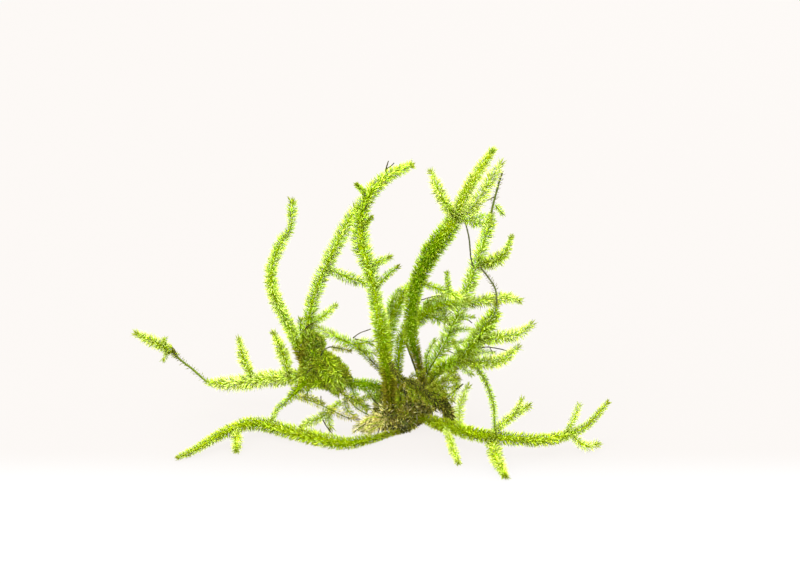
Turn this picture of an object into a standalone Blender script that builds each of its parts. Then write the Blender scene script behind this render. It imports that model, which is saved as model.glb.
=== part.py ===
"""A clump of aquarium moss: leafy shoots that rise and spread from a small brown mat.

Metres, +Z up. The clump stands at the origin on the flat underside of its mat. Its front faces -Y and
its right side +X. Every shoot is a list of points chosen by hand, in millimetres, as someone sees them who
looks at the front from a little above: across, up, then how far back the point lies or how high it is over
the surface, then the half-width of the shoot, out to the tips of its leaves.
"""
import math

import bmesh
import bpy
from mathutils import Vector, noise
from mathutils.bvhtree import BVHTree

MM = 0.001

# The front view: how steeply it looks down, from how far, and the point at its middle
VIEW_TILT = math.radians(20.0)
VIEW_DISTANCE = 600.0
VIEW_MIDDLE = (0.6, 26.6)

# Leafy shoots: whorls of leaves, one above the other
WHORL_PITCH = 2.75
WHORL_FLARE = 0.82
WHORL_WAIST = 0.56
WHORL_NOTCH = 0.84
SHOOT_SIDES = 6
BARE_RADIUS = 0.42
BARE_STEP = 2.75
PATH_STEP = 0.2

# Neighbours never touch: each piece stops this far from the ones built before it
GAP = 0.3
GUARD_SIDES = 10
GUARD_STEP = 1.0
WELD = 0.03

# The mat and the knot are lumpy balls grown together: middle, half sizes and how fine. The mat has a lobe
# on its right. The knot has one that rises on its left and one that hangs on its right.
MAT_BALLS = [((0.0, 0.0, 3.3), (4.7, 4.3, 4.9), 3), ((4.6, 0.2, 5.7), (4.2, 3.6, 3.1), 3)]
KNOT_BALLS = [
    ((-15.2, 2.0, 11.2), (3.8, 2.7, 3.6), 3), ((-17.0, 2.2, 15.4), (2.2, 1.8, 3.5), 2),
    ((-12.2, 1.4, 10.0), (2.3, 1.9, 3.2), 2),
]
LUMP_HEIGHT = 1.2
LUMP_WAVE = 0.42

LEAF_BRIGHT = ("leaf_bright", (0.36, 0.55, 0.03), 0.55)
LEAF_GREEN = ("leaf_green", (0.20, 0.38, 0.02), 0.55)
LEAF_DARK = ("leaf_dark", (0.07, 0.20, 0.01), 0.55)
LEAF_TAN = ("leaf_tan", (0.66, 0.52, 0.20), 0.70)
STEM_BROWN = ("stem_brown", (0.16, 0.11, 0.03), 0.70)
STUB_DARK = ("stub_dark", (0.035, 0.022, 0.012), 0.70)

BY_DEPTH = "depth"
BY_HEIGHT = "height"
BY_PLAN = "plan"

LEFT_ARM = [
    (-16.8, 10.2, 2.6, 1.0), (-19.4, 9.8, 3.5, 1.2), (-23.4, 9.4, 5.0, 1.3), (-26.4, 9.2, 6.2, 1.3),
    (-29.4, 8.8, 7.4, 1.3), (-32.4, 8.4, 8.4, 1.2), (-35.4, 8.3, 9.2, 1.0), (-37.2, 8.5, 9.6, 0.6),
    (-38.2, 8.8, 9.8, 0.32), (-40.8, 11.1, 10.2, 0.32), (-42.4, 12.3, 10.2, 0.32), (-43.8, 13.5, 10.0, 0.32),
    (-44.8, 14.5, 9.8, 0.5), (-45.6, 15.0, 9.6, 0.8), (-47.4, 16.0, 9.0, 0.9), (-49.4, 17.0, 8.4, 0.9),
    (-52.0, 18.2, 7.6, 0.5),
]
LEFT_ARM_FIRST_SHOOT = [
    (-21.6, 9.6, 4.5, 0.7), (-22.2, 12.4, 3.8, 0.95), (-23.2, 15.2, 3.0, 0.95), (-24.6, 18.2, 2.0, 0.5),
]
LEFT_ARM_SECOND_SHOOT = [
    (-29.0, 9.4, 7.4, 0.7), (-30.0, 11.8, 6.6, 0.9), (-30.8, 13.6, 6.0, 0.9), (-31.6, 17.0, 5.2, 0.5),
]
LOW_LEFT = [
    (2.8, -1.0, 0.4, 0.4), (1.2, -1.2, 0.4, 0.4), (-1.4, -1.8, 0.6, 0.5), (-4.4, -2.7, 0.8, 0.7),
    (-7.4, -3.3, 1.0, 1.0), (-10.4, -3.7, 1.1, 1.15), (-13.4, -3.3, 1.3, 1.3), (-19.4, -1.9, 1.4, 1.3),
    (-22.4, -1.1, 1.7, 1.25), (-26.4, 0.1, 2.3, 1.2), (-28.4, 0.3, 2.6, 1.15), (-30.4, 0.1, 2.9, 1.05),
    (-32.4, -0.5, 3.0, 1.0), (-36.4, -2.5, 2.4, 0.85), (-38.4, -3.7, 1.9, 0.75), (-40.4, -4.9, 1.3, 0.7),
    (-43.6, -6.4, 0.6, 0.5),
]
LOW_LEFT_SHOOT = [
    (-32.6, -0.6, 2.8, 0.7), (-32.0, -2.6, 2.0, 0.9), (-32.0, -3.8, 1.3, 0.85), (-32.2, -4.8, 0.8, 0.5),
]
LEFT_CURL = [
    (-17.0, 11.0, 2.0, 0.8), (-18.4, 12.0, 1.5, 0.8), (-20.2, 16.6, -0.5, 0.85), (-21.4, 19.4, -2.0, 0.95),
    (-23.2, 22.8, -3.5, 1.0), (-24.8, 26.6, -5.5, 1.0), (-25.2, 29.6, -6.5, 0.95), (-24.8, 32.6, -7.0, 0.9),
    (-23.2, 36.4, -7.0, 0.9), (-21.8, 38.4, -6.5, 0.7), (-21.2, 39.6, -6.0, 0.6), (-21.0, 42.4, -5.0, 0.85),
    (-21.0, 44.4, -4.0, 0.6),
]
LEFT_UPRIGHT = [
    (-16.6, 13.0, 3.0, 0.8), (-17.0, 16.0, 3.4, 0.9), (-17.7, 19.4, 4.0, 1.1), (-17.0, 24.4, 5.0, 1.1),
    (-15.6, 28.4, 6.0, 1.15), (-13.1, 34.0, 7.5, 1.15), (-10.2, 39.8, 8.5, 1.1), (-8.2, 43.2, 8.5, 0.9),
]
LEFT_UPRIGHT_LOWER_SHOOT = [
    (-17.2, 20.2, 4.2, 0.6), (-14.8, 21.7, 3.8, 0.75), (-12.3, 23.9, 3.2, 0.45),
]
LEFT_UPRIGHT_CROSS_SHOOT = [
    (-14.4, 31.4, 6.8, 0.75), (-10.2, 29.7, 6.4, 0.95), (-7.0, 28.6, 5.8, 0.8), (-5.6, 28.4, 5.5, 0.5),
]
TALL_LEFT = [
    (-1.2, 3.0, -2.0, 1.1), (-1.4, 6.0, -3.0, 1.2), (-1.8, 10.0, -4.0, 1.1), (-2.6, 14.0, -4.4, 1.2),
    (-3.0, 18.0, -5.0, 1.35), (-3.7, 22.0, -5.4, 1.3), (-4.5, 26.4, -5.4, 1.2), (-5.6, 31.4, -5.0, 1.4),
    (-7.2, 36.0, -4.4, 1.5), (-7.3, 40.0, -3.6, 1.35), (-6.9, 43.2, -2.6, 1.25), (-5.7, 45.9, -1.2, 1.25),
    (-3.3, 48.6, 0.5, 1.15), (-0.7, 50.5, 2.2, 1.05), (1.1, 51.2, 3.2, 0.85), (2.6, 51.9, 4.2, 0.4),
]
TALL_LEFT_FIRST_SHOOT = [
    (-4.6, 27.2, -5.3, 0.5), (-1.8, 30.1, -5.8, 0.65), (0.2, 31.6, -6.0, 0.35),
]
TALL_LEFT_SECOND_SHOOT = [
    (-5.8, 31.4, -5.0, 0.7), (-4.2, 32.4, -5.2, 0.85), (-1.8, 33.4, -5.6, 0.5),
]
TALL_LEFT_BUDS = [
    [(-7.2, 39.2, -3.8, 0.5), (-5.2, 41.4, -4.6, 0.45)],
    [(-6.0, 46.0, -1.3, 0.5), (-8.0, 48.0, -2.4, 0.45)],
]
FORK = [
    (-1.0, 6.6, 1.5, 0.9), (-1.8, 11.0, 2.2, 1.1), (-2.2, 15.0, 3.0, 1.2), (-1.6, 19.0, 3.8, 1.2),
    (-0.4, 23.0, 4.6, 1.25), (1.2, 26.0, 5.2, 1.15), (3.0, 28.4, 5.6, 0.7),
]
THICK = [
    (5.4, 7.0, 0.0, 0.6), (4.8, 10.6, -0.5, 0.6), (4.0, 13.8, -1.0, 0.8), (3.0, 17.0, -1.5, 1.1),
    (2.8, 20.6, -1.8, 1.2), (3.2, 25.0, -2.2, 1.25), (4.5, 29.6, -2.8, 1.4), (6.3, 33.6, -3.4, 1.65),
    (8.3, 36.6, -3.8, 1.7), (10.7, 39.8, -4.2, 1.55), (12.5, 43.6, -4.6, 1.2), (14.0, 47.0, -5.0, 1.1),
    (16.0, 50.2, -5.4, 1.0), (17.9, 53.0, -5.8, 0.9), (18.9, 54.6, -6.0, 0.5),
]
THICK_LEFT = [
    (11.8, 41.6, -4.8, 0.8), (10.6, 43.0, -5.8, 0.9), (9.6, 44.4, -6.6, 0.95), (8.0, 47.6, -7.8, 0.85),
    (6.8, 50.6, -8.6, 0.4),
]
THICK_TWIN = [
    (12.0, 41.8, -4.0, 0.8), (14.3, 42.9, -2.4, 1.0), (15.6, 44.0, -1.4, 1.1), (17.6, 47.2, 0.2, 1.1),
    (18.8, 49.3, 1.0, 1.0), (20.8, 52.3, 1.8, 0.45),
]
THICK_RIGHT = [
    (11.8, 41.6, -4.6, 0.7), (14.6, 40.8, -6.2, 0.8), (16.0, 40.2, -6.8, 0.8), (18.6, 40.6, -6.8, 0.5),
]
THICK_TWIG = [
    (13.6, 40.8, -5.8, 0.2), (14.4, 37.4, -6.4, 0.2), (14.8, 33.4, -6.0, 0.2), (15.4, 31.4, -5.4, 0.18),
]
CROSSING = [
    (5.2, 28.4, -3.4, 0.6), (8.6, 27.1, -3.6, 0.85), (11.8, 25.8, -2.8, 0.8), (13.0, 25.2, -2.2, 0.5),
]
CROSSING_SHOOT = [
    (10.4, 26.2, -3.2, 0.45), (10.2, 28.2, -3.4, 0.5), (10.0, 30.4, -3.2, 0.35),
]
BROAD_SIDE = [
    (0.4, 7.0, -0.6, 0.55), (0.2, 10.6, -0.4, 0.7), (0.4, 14.0, 0.6, 0.85), (1.2, 17.6, 2.0, 1.1),
    (2.8, 20.0, 2.5, 1.3), (4.2, 21.4, 2.3, 1.4), (6.2, 22.8, 2.0, 1.4), (8.6, 23.9, 1.8, 1.35),
    (11.0, 24.6, 1.5, 1.15), (13.2, 25.0, 1.4, 0.7),
]
BROAD_SIDE_ROOT = [
    (1.6, 17.0, 2.0, 0.4), (2.2, 15.4, 1.8, 0.32), (3.0, 13.2, 1.4, 0.3), (4.0, 10.4, 1.2, 0.3),
    (4.6, 8.4, 1.2, 0.3),
]
SLENDER_RIGHT = [
    (5.4, 6.6, 2.6, 0.7), (6.2, 10.4, 3.6, 0.9), (8.0, 13.6, 4.6, 1.05), (9.6, 16.4, 5.6, 1.1),
    (11.2, 20.0, 6.6, 1.15), (12.6, 23.4, 7.4, 1.15), (13.8, 26.4, 8.0, 1.1), (15.2, 30.0, 8.4, 1.1),
    (16.6, 34.4, 8.8, 1.0), (18.6, 40.2, 9.4, 0.85), (18.8, 41.8, 9.6, 0.4), (19.2, 44.0, 9.8, 0.3),
    (20.2, 47.8, 10.0, 0.3), (21.0, 50.4, 10.0, 0.25),
]
HOOK = [
    (16.0, 32.5, 8.4, 0.85), (17.8, 32.4, 7.4, 1.05), (19.5, 32.8, 6.6, 1.05), (20.8, 33.6, 6.0, 0.95),
    (22.0, 35.0, 5.6, 0.7), (22.9, 37.6, 5.2, 0.35),
]
LEVEL = [
    (13.0, 24.3, 7.6, 0.75), (15.6, 24.6, 8.6, 0.9), (19.6, 25.2, 9.8, 0.9), (21.6, 25.5, 10.4, 0.8),
    (23.0, 25.4, 10.8, 0.65), (24.3, 24.9, 11.0, 0.4),
]
RIGHT_MID = [
    (6.2, 7.4, -0.8, 0.6), (8.6, 11.4, -1.8, 0.9), (10.6, 12.2, -2.6, 1.1), (12.6, 13.0, -3.4, 1.1),
    (13.8, 14.2, -3.8, 1.25), (15.3, 16.0, -4.2, 1.4), (17.3, 19.0, -4.6, 1.35), (19.1, 21.6, -4.6, 1.05),
    (19.8, 23.2, -4.4, 0.5), (19.9, 25.6, -3.6, 0.26), (19.5, 27.6, -2.4, 0.24), (17.9, 30.0, -0.6, 0.24),
    (16.6, 31.6, 0.8, 0.22),
]
RIGHT_MID_UPPER = [
    (16.2, 16.9, -4.4, 0.75), (18.6, 17.2, -5.6, 0.95), (20.6, 17.6, -6.4, 0.95), (22.6, 17.8, -7.0, 0.95),
    (24.7, 18.4, -7.2, 0.85), (26.8, 20.0, -7.0, 0.4),
]
RIGHT_MID_LOWER = [
    (12.4, 12.7, -3.4, 0.65), (15.0, 12.4, -5.2, 0.95), (19.0, 12.6, -7.0, 0.95), (20.6, 12.8, -7.8, 0.9),
    (22.0, 13.6, -8.2, 0.8), (24.1, 15.5, -8.4, 0.45),
]
DROOPING = [
    (13.8, 13.2, -4.2, 0.55), (15.4, 11.9, -6.8, 0.65), (16.5, 10.7, -8.4, 0.65), (17.6, 9.0, -10.2, 0.65),
    (18.4, 7.0, -11.8, 0.65), (19.0, 5.0, -13.4, 0.65), (19.4, 3.0, -15.0, 0.6), (19.5, -0.8, -17.2, 0.5),
    (19.3, -1.8, -17.9, 0.4),
]
RIGHT_ARM = [
    (2.6, 2.0, 3.2, 0.7), (6.2, 1.0, 2.6, 0.9), (8.6, 0.2, 3.2, 1.1), (10.6, -0.4, 3.5, 1.1),
    (12.6, -1.0, 3.8, 1.1), (14.6, -1.6, 4.0, 1.15), (16.6, -2.0, 4.2, 1.15), (19.0, -2.3, 4.3, 1.2),
    (21.6, -2.6, 4.2, 1.15), (24.2, -2.8, 3.9, 1.1), (26.6, -3.0, 3.5, 1.1), (29.0, -3.0, 3.1, 1.05),
    (31.6, -2.7, 3.0, 1.0), (33.6, -2.1, 3.2, 0.9), (36.2, -1.1, 4.0, 0.75), (38.0, -0.1, 5.0, 0.7),
    (39.4, 1.3, 6.4, 0.65), (40.8, 2.9, 8.0, 0.6), (42.1, 4.4, 9.4, 0.35),
]
RIGHT_ARM_UP = [
    (33.9, -1.8, 3.4, 0.6), (35.7, 2.0, 7.0, 0.75), (36.3, 3.8, 8.8, 0.4),
]
RIGHT_ARM_END = [
    (34.6, -1.6, 3.4, 0.6), (36.0, -3.0, 2.2, 0.8), (37.0, -3.9, 1.4, 0.9), (38.4, -4.3, 1.0, 0.85),
    (39.7, -3.9, 1.2, 0.5),
]
RIGHT_ARM_FORK = [
    (18.8, -2.0, 4.4, 0.6), (20.8, 0.0, 7.0, 0.85), (22.5, 1.3, 8.6, 0.9), (23.9, 2.5, 10.0, 0.85),
    (25.2, 3.2, 11.0, 0.75), (26.2, 3.7, 11.8, 0.4),
]
RIGHT_ARM_FORK_TIP = [
    (23.5, 2.1, 9.6, 0.5), (24.4, 3.9, 11.4, 0.6), (25.0, 5.2, 12.8, 0.35),
]
RIGHT_ARM_DOWN = [
    (19.0, -2.4, 4.0, 0.9), (19.3, -4.6, 2.8, 1.25), (19.8, -6.4, 2.0, 1.15), (20.5, -8.0, 1.4, 0.95),
    (21.1, -9.2, 1.0, 0.75), (21.6, -10.2, 0.7, 0.5),
]
PALE_DOWN = [
    (9.8, -0.6, 3.2, 0.6), (10.6, -3.0, 2.6, 0.75), (11.2, -5.0, 1.8, 0.75), (11.9, -6.5, 1.1, 0.65),
    (12.2, -7.5, 0.7, 0.45),
]
PALE_UPRIGHT = [
    (12.2, -0.6, -11.6, 0.65), (12.5, 1.4, -10.0, 0.8), (12.5, 3.4, -9.2, 0.9), (13.1, 5.4, -8.6, 0.85),
    (13.7, 6.8, -8.2, 0.6), (14.2, 7.6, -8.0, 0.4),
]
SHORT_OLIVE = [
    (5.8, 6.4, -1.6, 0.5), (7.6, 8.0, -4.0, 0.6), (9.2, 9.0, -4.6, 0.65), (11.8, 11.2, -5.0, 0.4),
]
THIN_BROWN = [
    (9.6, 5.0, -5.0, 0.25), (11.0, 6.4, -5.5, 0.25), (13.2, 8.2, -6.2, 0.2),
]
DARK_CURVED = [
    (-1.2, 12.6, -6.2, 0.35), (-0.6, 11.0, -6.4, 0.4), (0.2, 9.8, -6.4, 0.4), (1.6, 9.0, -6.2, 0.4),
    (4.6, 7.8, -6.0, 0.42), (5.8, 6.6, -6.0, 0.42), (7.2, 5.2, -5.8, 0.42), (9.0, 3.6, -5.0, 0.42),
]
STUB = [
    (6.6, 5.0, -2.0, 0.7), (8.8, 4.8, -3.0, 0.9), (9.6, 3.8, -3.8, 1.15), (10.4, 2.2, -4.6, 1.2),
    (11.2, 0.6, -5.2, 0.9),
]
TUFT = [
    (-0.8, 1.6, -2.6, 0.9), (-3.6, 0.9, -4.6, 1.15), (-5.8, 0.0, -6.0, 1.35), (-7.2, -0.9, -7.0, 1.1),
    (-8.5, -1.7, -7.6, 0.5),
]
BRIDGE = [
    (-12.8, 9.2, 1.8, 0.9), (-8.4, 8.2, 1.0, 1.1), (-5.4, 8.0, 0.5, 1.15), (-0.8, 7.0, 0.0, 0.9),
]
KNOT_STEM = [
    (-13.2, 9.0, -0.4, 0.4), (-11.8, 7.4, -1.2, 0.4), (-9.0, 4.4, -1.6, 0.4), (-7.8, 3.2, -1.8, 0.4),
    (-5.0, 1.8, -2.0, 0.4), (-1.8, 1.6, -1.6, 0.4),
]
GREY = [
    (-15.4, 13.4, 0.8, 0.28), (-14.8, 14.8, -0.6, 0.28), (-13.4, 15.6, -1.8, 0.28), (-11.8, 15.4, -2.4, 0.28),
    (-9.0, 14.8, -3.0, 0.24),
]
KNOT_DROP = [
    (-16.4, 10.2, 0.4, 0.8), (-19.0, 7.9, -1.5, 1.15), (-20.4, 6.4, -2.8, 1.0), (-21.6, 5.2, -3.6, 0.7),
    (-23.8, 3.4, -4.6, 0.55), (-24.6, 2.0, -5.2, 0.5), (-25.0, 0.8, -6.0, 0.45),
]
BROWN_LEAFY = [
    (-19.8, 5.4, -6.0, 0.5), (-17.8, 5.0, -6.2, 0.7), (-14.4, 3.6, -6.4, 0.7), (-11.2, 2.0, -6.4, 0.7),
    (-9.6, 1.4, -6.6, 0.55), (-8.0, 1.2, -6.2, 0.4),
]
SMALL_BRIGHT = [
    (-11.2, 4.8, -4.0, 0.5), (-12.8, 3.4, -4.2, 0.8), (-14.4, 2.0, -4.6, 0.9), (-16.4, 1.0, -5.4, 0.9),
    (-18.4, 0.2, -6.4, 0.7), (-19.4, -1.0, -7.8, 0.5),
]
UPPER_ARCH = [
    (-0.4, 5.8, -0.8, 0.45), (-1.2, 8.0, -1.0, 0.45), (-3.0, 10.6, -1.2, 0.5), (-4.6, 12.3, -1.4, 0.65),
    (-7.4, 15.2, -1.0, 0.85), (-9.0, 16.2, -0.8, 0.95), (-12.6, 17.8, -0.4, 0.95), (-15.8, 19.5, 0.4, 0.5),
]
BACK_LEFT = [
    (1.2, 2.0, 3.0, 0.9), (-0.3, 8.0, 2.6, 1.1), (-1.3, 13.0, 1.5, 1.1), (-1.0, 18.0, 1.1, 1.0),
    (-2.3, 23.0, 0.8, 0.5),
]
BACK_RIGHT = [
    (3.4, 2.0, 4.0, 0.8), (5.2, 7.0, 4.2, 1.0), (6.7, 11.0, 2.8, 1.0), (7.2, 15.0, 1.3, 1.0),
    (6.2, 19.0, 0.8, 0.5),
]

# Each shoot with its side shoots, its material, and what the third number of its points means. The order
# is the order in which they are built: a shoot is cut back from those before it.
SHOOTS = [
    ("thick_frond", LEAF_DARK, BY_DEPTH, [THICK]),
    ("tall_left_frond", LEAF_GREEN, BY_DEPTH,
     [TALL_LEFT, TALL_LEFT_FIRST_SHOOT, TALL_LEFT_SECOND_SHOOT] + TALL_LEFT_BUDS),
    ("low_left_frond", LEAF_BRIGHT, BY_HEIGHT, [LOW_LEFT, LOW_LEFT_SHOOT]),
    ("right_arm_frond", LEAF_BRIGHT, BY_HEIGHT, [RIGHT_ARM]),
    ("slender_right_frond", LEAF_GREEN, BY_DEPTH, [SLENDER_RIGHT]),
    ("right_mid_frond", LEAF_GREEN, BY_DEPTH, [RIGHT_MID]),
    ("left_arm_frond", LEAF_BRIGHT, BY_DEPTH, [LEFT_ARM, LEFT_ARM_FIRST_SHOOT, LEFT_ARM_SECOND_SHOOT]),
    ("left_curl_frond", LEAF_GREEN, BY_DEPTH, [LEFT_CURL]),
    ("left_upright_frond", LEAF_GREEN, BY_DEPTH,
     [LEFT_UPRIGHT, LEFT_UPRIGHT_LOWER_SHOOT, LEFT_UPRIGHT_CROSS_SHOOT]),
    ("fork_frond", LEAF_DARK, BY_DEPTH, [FORK]),
    ("broad_side_frond", LEAF_GREEN, BY_DEPTH, [BROAD_SIDE, BROAD_SIDE_ROOT]),
    ("thick_left_branch", LEAF_BRIGHT, BY_DEPTH, [THICK_LEFT]),
    ("thick_twin_branch", LEAF_BRIGHT, BY_DEPTH, [THICK_TWIN]),
    ("thick_right_branch", LEAF_GREEN, BY_DEPTH, [THICK_RIGHT]),
    ("thick_bare_twig", STEM_BROWN, BY_DEPTH, [THICK_TWIG]),
    ("crossing_shoot", LEAF_GREEN, BY_DEPTH, [CROSSING, CROSSING_SHOOT]),
    ("hook_branch", LEAF_BRIGHT, BY_DEPTH, [HOOK]),
    ("level_branch", LEAF_BRIGHT, BY_DEPTH, [LEVEL]),
    ("right_mid_upper_branch", LEAF_BRIGHT, BY_DEPTH, [RIGHT_MID_UPPER]),
    ("right_mid_lower_branch", LEAF_BRIGHT, BY_DEPTH, [RIGHT_MID_LOWER]),
    ("drooping_stem", LEAF_DARK, BY_DEPTH, [DROOPING]),
    ("right_arm_up_branch", LEAF_BRIGHT, BY_HEIGHT, [RIGHT_ARM_UP]),
    ("right_arm_end_branch", LEAF_BRIGHT, BY_HEIGHT, [RIGHT_ARM_END]),
    ("right_arm_fork_branch", LEAF_BRIGHT, BY_HEIGHT, [RIGHT_ARM_FORK, RIGHT_ARM_FORK_TIP]),
    ("right_arm_down_branch", LEAF_BRIGHT, BY_HEIGHT, [RIGHT_ARM_DOWN]),
    ("pale_down_shoot", LEAF_BRIGHT, BY_HEIGHT, [PALE_DOWN]),
    ("pale_upright_shoot", LEAF_BRIGHT, BY_DEPTH, [PALE_UPRIGHT]),
    ("dark_stub", STUB_DARK, BY_DEPTH, [STUB]),
    ("dark_curved_stem", STUB_DARK, BY_DEPTH, [DARK_CURVED]),
    ("short_olive_shoot", STEM_BROWN, BY_DEPTH, [SHORT_OLIVE]),
    ("thin_brown_stem", STEM_BROWN, BY_DEPTH, [THIN_BROWN]),
    ("tan_tuft", LEAF_TAN, BY_DEPTH, [TUFT]),
    ("bridge_frond", LEAF_DARK, BY_DEPTH, [BRIDGE]),
    ("brown_knot_stem", STEM_BROWN, BY_DEPTH, [KNOT_STEM]),
    ("grey_stem", STEM_BROWN, BY_DEPTH, [GREY]),
    ("knot_drop_shoot", LEAF_DARK, BY_DEPTH, [KNOT_DROP]),
    ("brown_leafy_stem", STEM_BROWN, BY_DEPTH, [BROWN_LEAFY]),
    ("small_bright_frond", LEAF_BRIGHT, BY_DEPTH, [SMALL_BRIGHT]),
    ("upper_arch_frond", LEAF_GREEN, BY_DEPTH, [UPPER_ARCH]),
    ("back_left_shoot", LEAF_GREEN, BY_PLAN, [BACK_LEFT]),
    ("back_right_shoot", LEAF_GREEN, BY_PLAN, [BACK_RIGHT]),
]


def clear_scene():
    """Empties the scene."""
    for thing in list(bpy.data.objects):
        bpy.data.objects.remove(thing, do_unlink=True)


def material(name, colour, roughness):
    """Returns the named material, made once."""
    found = bpy.data.materials.get(name)
    if found is not None and found.users:
        return found
    made = bpy.data.materials.new(name)
    made.use_nodes = True
    shader = made.node_tree.nodes["Principled BSDF"]
    shader.inputs["Base Color"].default_value = (*colour, 1.0)
    shader.inputs["Roughness"].default_value = roughness
    shader.inputs["Metallic"].default_value = 0.0
    return made


def view_middle_height():
    """Height, in millimetres, of the point at the middle of the front view, on the plane through the mat."""
    up = -VIEW_MIDDLE[1]
    return -up * VIEW_DISTANCE / (VIEW_DISTANCE * math.cos(VIEW_TILT) + up * math.sin(VIEW_TILT))


def point_at_depth(across, up, depth):
    """The point seen at (across, up) that lies depth behind the middle of the mat, in millimetres."""
    across = across - VIEW_MIDDLE[0]
    up = up - VIEW_MIDDLE[1]
    sine, cosine = math.sin(VIEW_TILT), math.cos(VIEW_TILT)
    top = up * (VIEW_DISTANCE + depth * cosine) - VIEW_DISTANCE * depth * sine
    height = top / (VIEW_DISTANCE * cosine + up * sine)
    reach = VIEW_DISTANCE + depth * cosine - height * sine
    side = across * reach / VIEW_DISTANCE
    return Vector((VIEW_MIDDLE[0] + side, depth, height + view_middle_height()))


def point_at_height(across, up, height):
    """The point seen at (across, up) that is height over the surface, in millimetres."""
    from_middle = height - view_middle_height()
    up_from_middle = up - VIEW_MIDDLE[1]
    sine, cosine = math.sin(VIEW_TILT), math.cos(VIEW_TILT)
    top = from_middle * (VIEW_DISTANCE * cosine + up_from_middle * sine) - up_from_middle * VIEW_DISTANCE
    depth = top / (up_from_middle * cosine - VIEW_DISTANCE * sine)
    return point_at_depth(across, up, depth)


def point_on_plan(side, depth, height):
    """The point at this side and depth from the middle of the mat, height over the surface."""
    return Vector((side, depth, height))


PLACERS = {BY_DEPTH: point_at_depth, BY_HEIGHT: point_at_height, BY_PLAN: point_on_plan}


def smooth_path(rows, placing):
    """A smooth curve through the rows' points: a list of (point, half-width), close together."""
    place = PLACERS[placing]
    knots = []
    for first, second, third, radius in rows:
        spot = place(first, second, third)
        knots.append(Vector((*spot, radius)))
    ends = [2 * knots[0] - knots[1]] + knots + [2 * knots[-1] - knots[-2]]
    path = []
    for before, start, end, after in zip(ends, ends[1:], ends[2:], ends[3:]):
        length = (end - start).to_3d().length
        steps = max(2, math.ceil(length / PATH_STEP))
        for step in range(steps):
            t = step / steps
            bend = 2 * start + (end - before) * t
            bend += (2 * before - 5 * start + 4 * end - after) * t ** 2
            bend += (3 * start - before - 3 * end + after) * t ** 3
            path.append(0.5 * bend)
    path.append(knots[-1])
    return [(spot.to_3d(), max(spot.w, 0.1)) for spot in path]


def path_lengths(path):
    """How far along the path each of its points is."""
    lengths = [0.0]
    for (start, _), (end, _) in zip(path, path[1:]):
        lengths.append(lengths[-1] + (end - start).length)
    return lengths


def at_length(path, lengths, length):
    """The point, direction and half-width at a length along the path."""
    index = 1
    while index < len(lengths) - 1 and lengths[index] < length:
        index += 1
    start, start_radius = path[index - 1]
    end, end_radius = path[index]
    share = (length - lengths[index - 1]) / max(lengths[index] - lengths[index - 1], 1e-9)
    share = min(max(share, 0.0), 1.0)
    radius = start_radius + (end_radius - start_radius) * share
    return start.lerp(end, share), (end - start).normalized(), radius


def leafy_rings(path):
    """Rings along a shoot: each whorl of leaves flares from its waist to the leaf tips, towards the tip."""
    lengths = path_lengths(path)
    total = lengths[-1]
    rings = []
    length = 0.0
    whorl = 0
    while length < total - 0.5 * WHORL_PITCH:
        spot, along, radius = at_length(path, lengths, length)
        if radius <= BARE_RADIUS:
            rings.append((spot, along, radius, radius))
            length += min(BARE_STEP, WHORL_PITCH)
            continue
        rings.append((spot, along, WHORL_WAIST * radius, WHORL_WAIST * radius))
        top = min(length + WHORL_FLARE * WHORL_PITCH, total - 0.2 * WHORL_PITCH)
        spot, along, radius = at_length(path, lengths, top)
        odd, even = (radius, WHORL_NOTCH * radius) if whorl % 2 else (WHORL_NOTCH * radius, radius)
        rings.append((spot, along, odd, even))
        length += WHORL_PITCH
        whorl += 1
    return rings


def plain_rings(path, extra):
    """Rings along a smooth tube that is extra wider than the path's half-width."""
    lengths = path_lengths(path)
    count = max(2, math.ceil(lengths[-1] / GUARD_STEP))
    rings = []
    for step in range(count + 1):
        spot, along, radius = at_length(path, lengths, lengths[-1] * step / count)
        rings.append((spot, along, radius + extra, radius + extra))
    return rings


def skin_rings(rings, sides, tip):
    """A closed mesh over the rings, with a flat start and an end that narrows to the tip, in metres."""
    mesh = bmesh.new()
    across = rings[0][1].orthogonal().normalized()
    loops = []
    for spot, along, odd, even in rings:
        across = (across - along * across.dot(along)).normalized()
        other = along.cross(across)
        loop = []
        for side in range(sides):
            angle = 2 * math.pi * side / sides
            radius = odd if side % 2 else even
            corner = spot + radius * (math.cos(angle) * across + math.sin(angle) * other)
            loop.append(mesh.verts.new(corner * MM))
        loops.append(loop)
    for low, high in zip(loops, loops[1:]):
        for side in range(sides):
            after = (side + 1) % sides
            mesh.faces.new((low[side], low[after], high[after], high[side]))
    mesh.faces.new(list(reversed(loops[0])))
    point = mesh.verts.new(tip * MM)
    for side in range(sides):
        mesh.faces.new((loops[-1][side], loops[-1][(side + 1) % sides], point))
    bmesh.ops.recalc_face_normals(mesh, faces=mesh.faces)
    return mesh


def press_on_surface(mesh):
    """Flattens what would be under the surface: leaves are pressed flat where a shoot lies on it."""
    for corner in mesh.verts:
        corner.co.z = max(corner.co.z, 0.0)


def object_from(mesh, name, slot):
    """Turns a bmesh into a named object with its material."""
    data = bpy.data.meshes.new(name)
    mesh.to_mesh(data)
    mesh.free()
    data.materials.append(material(*slot))
    piece = bpy.data.objects.new(name, data)
    bpy.context.collection.objects.link(piece)
    return piece


def boolean(piece, other, operation):
    """Joins the other object to the piece or cuts it away, and removes the other object."""
    step = piece.modifiers.new(operation.lower(), "BOOLEAN")
    step.operation = operation
    step.solver = "EXACT"
    step.object = other
    bpy.context.view_layer.update()
    view = bpy.context.evaluated_depsgraph_get()
    data = bpy.data.meshes.new_from_object(piece.evaluated_get(view))
    piece.modifiers.clear()
    old = piece.data
    piece.data = data
    data.name = piece.name
    bpy.data.meshes.remove(old)
    bpy.data.objects.remove(other, do_unlink=True)


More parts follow.
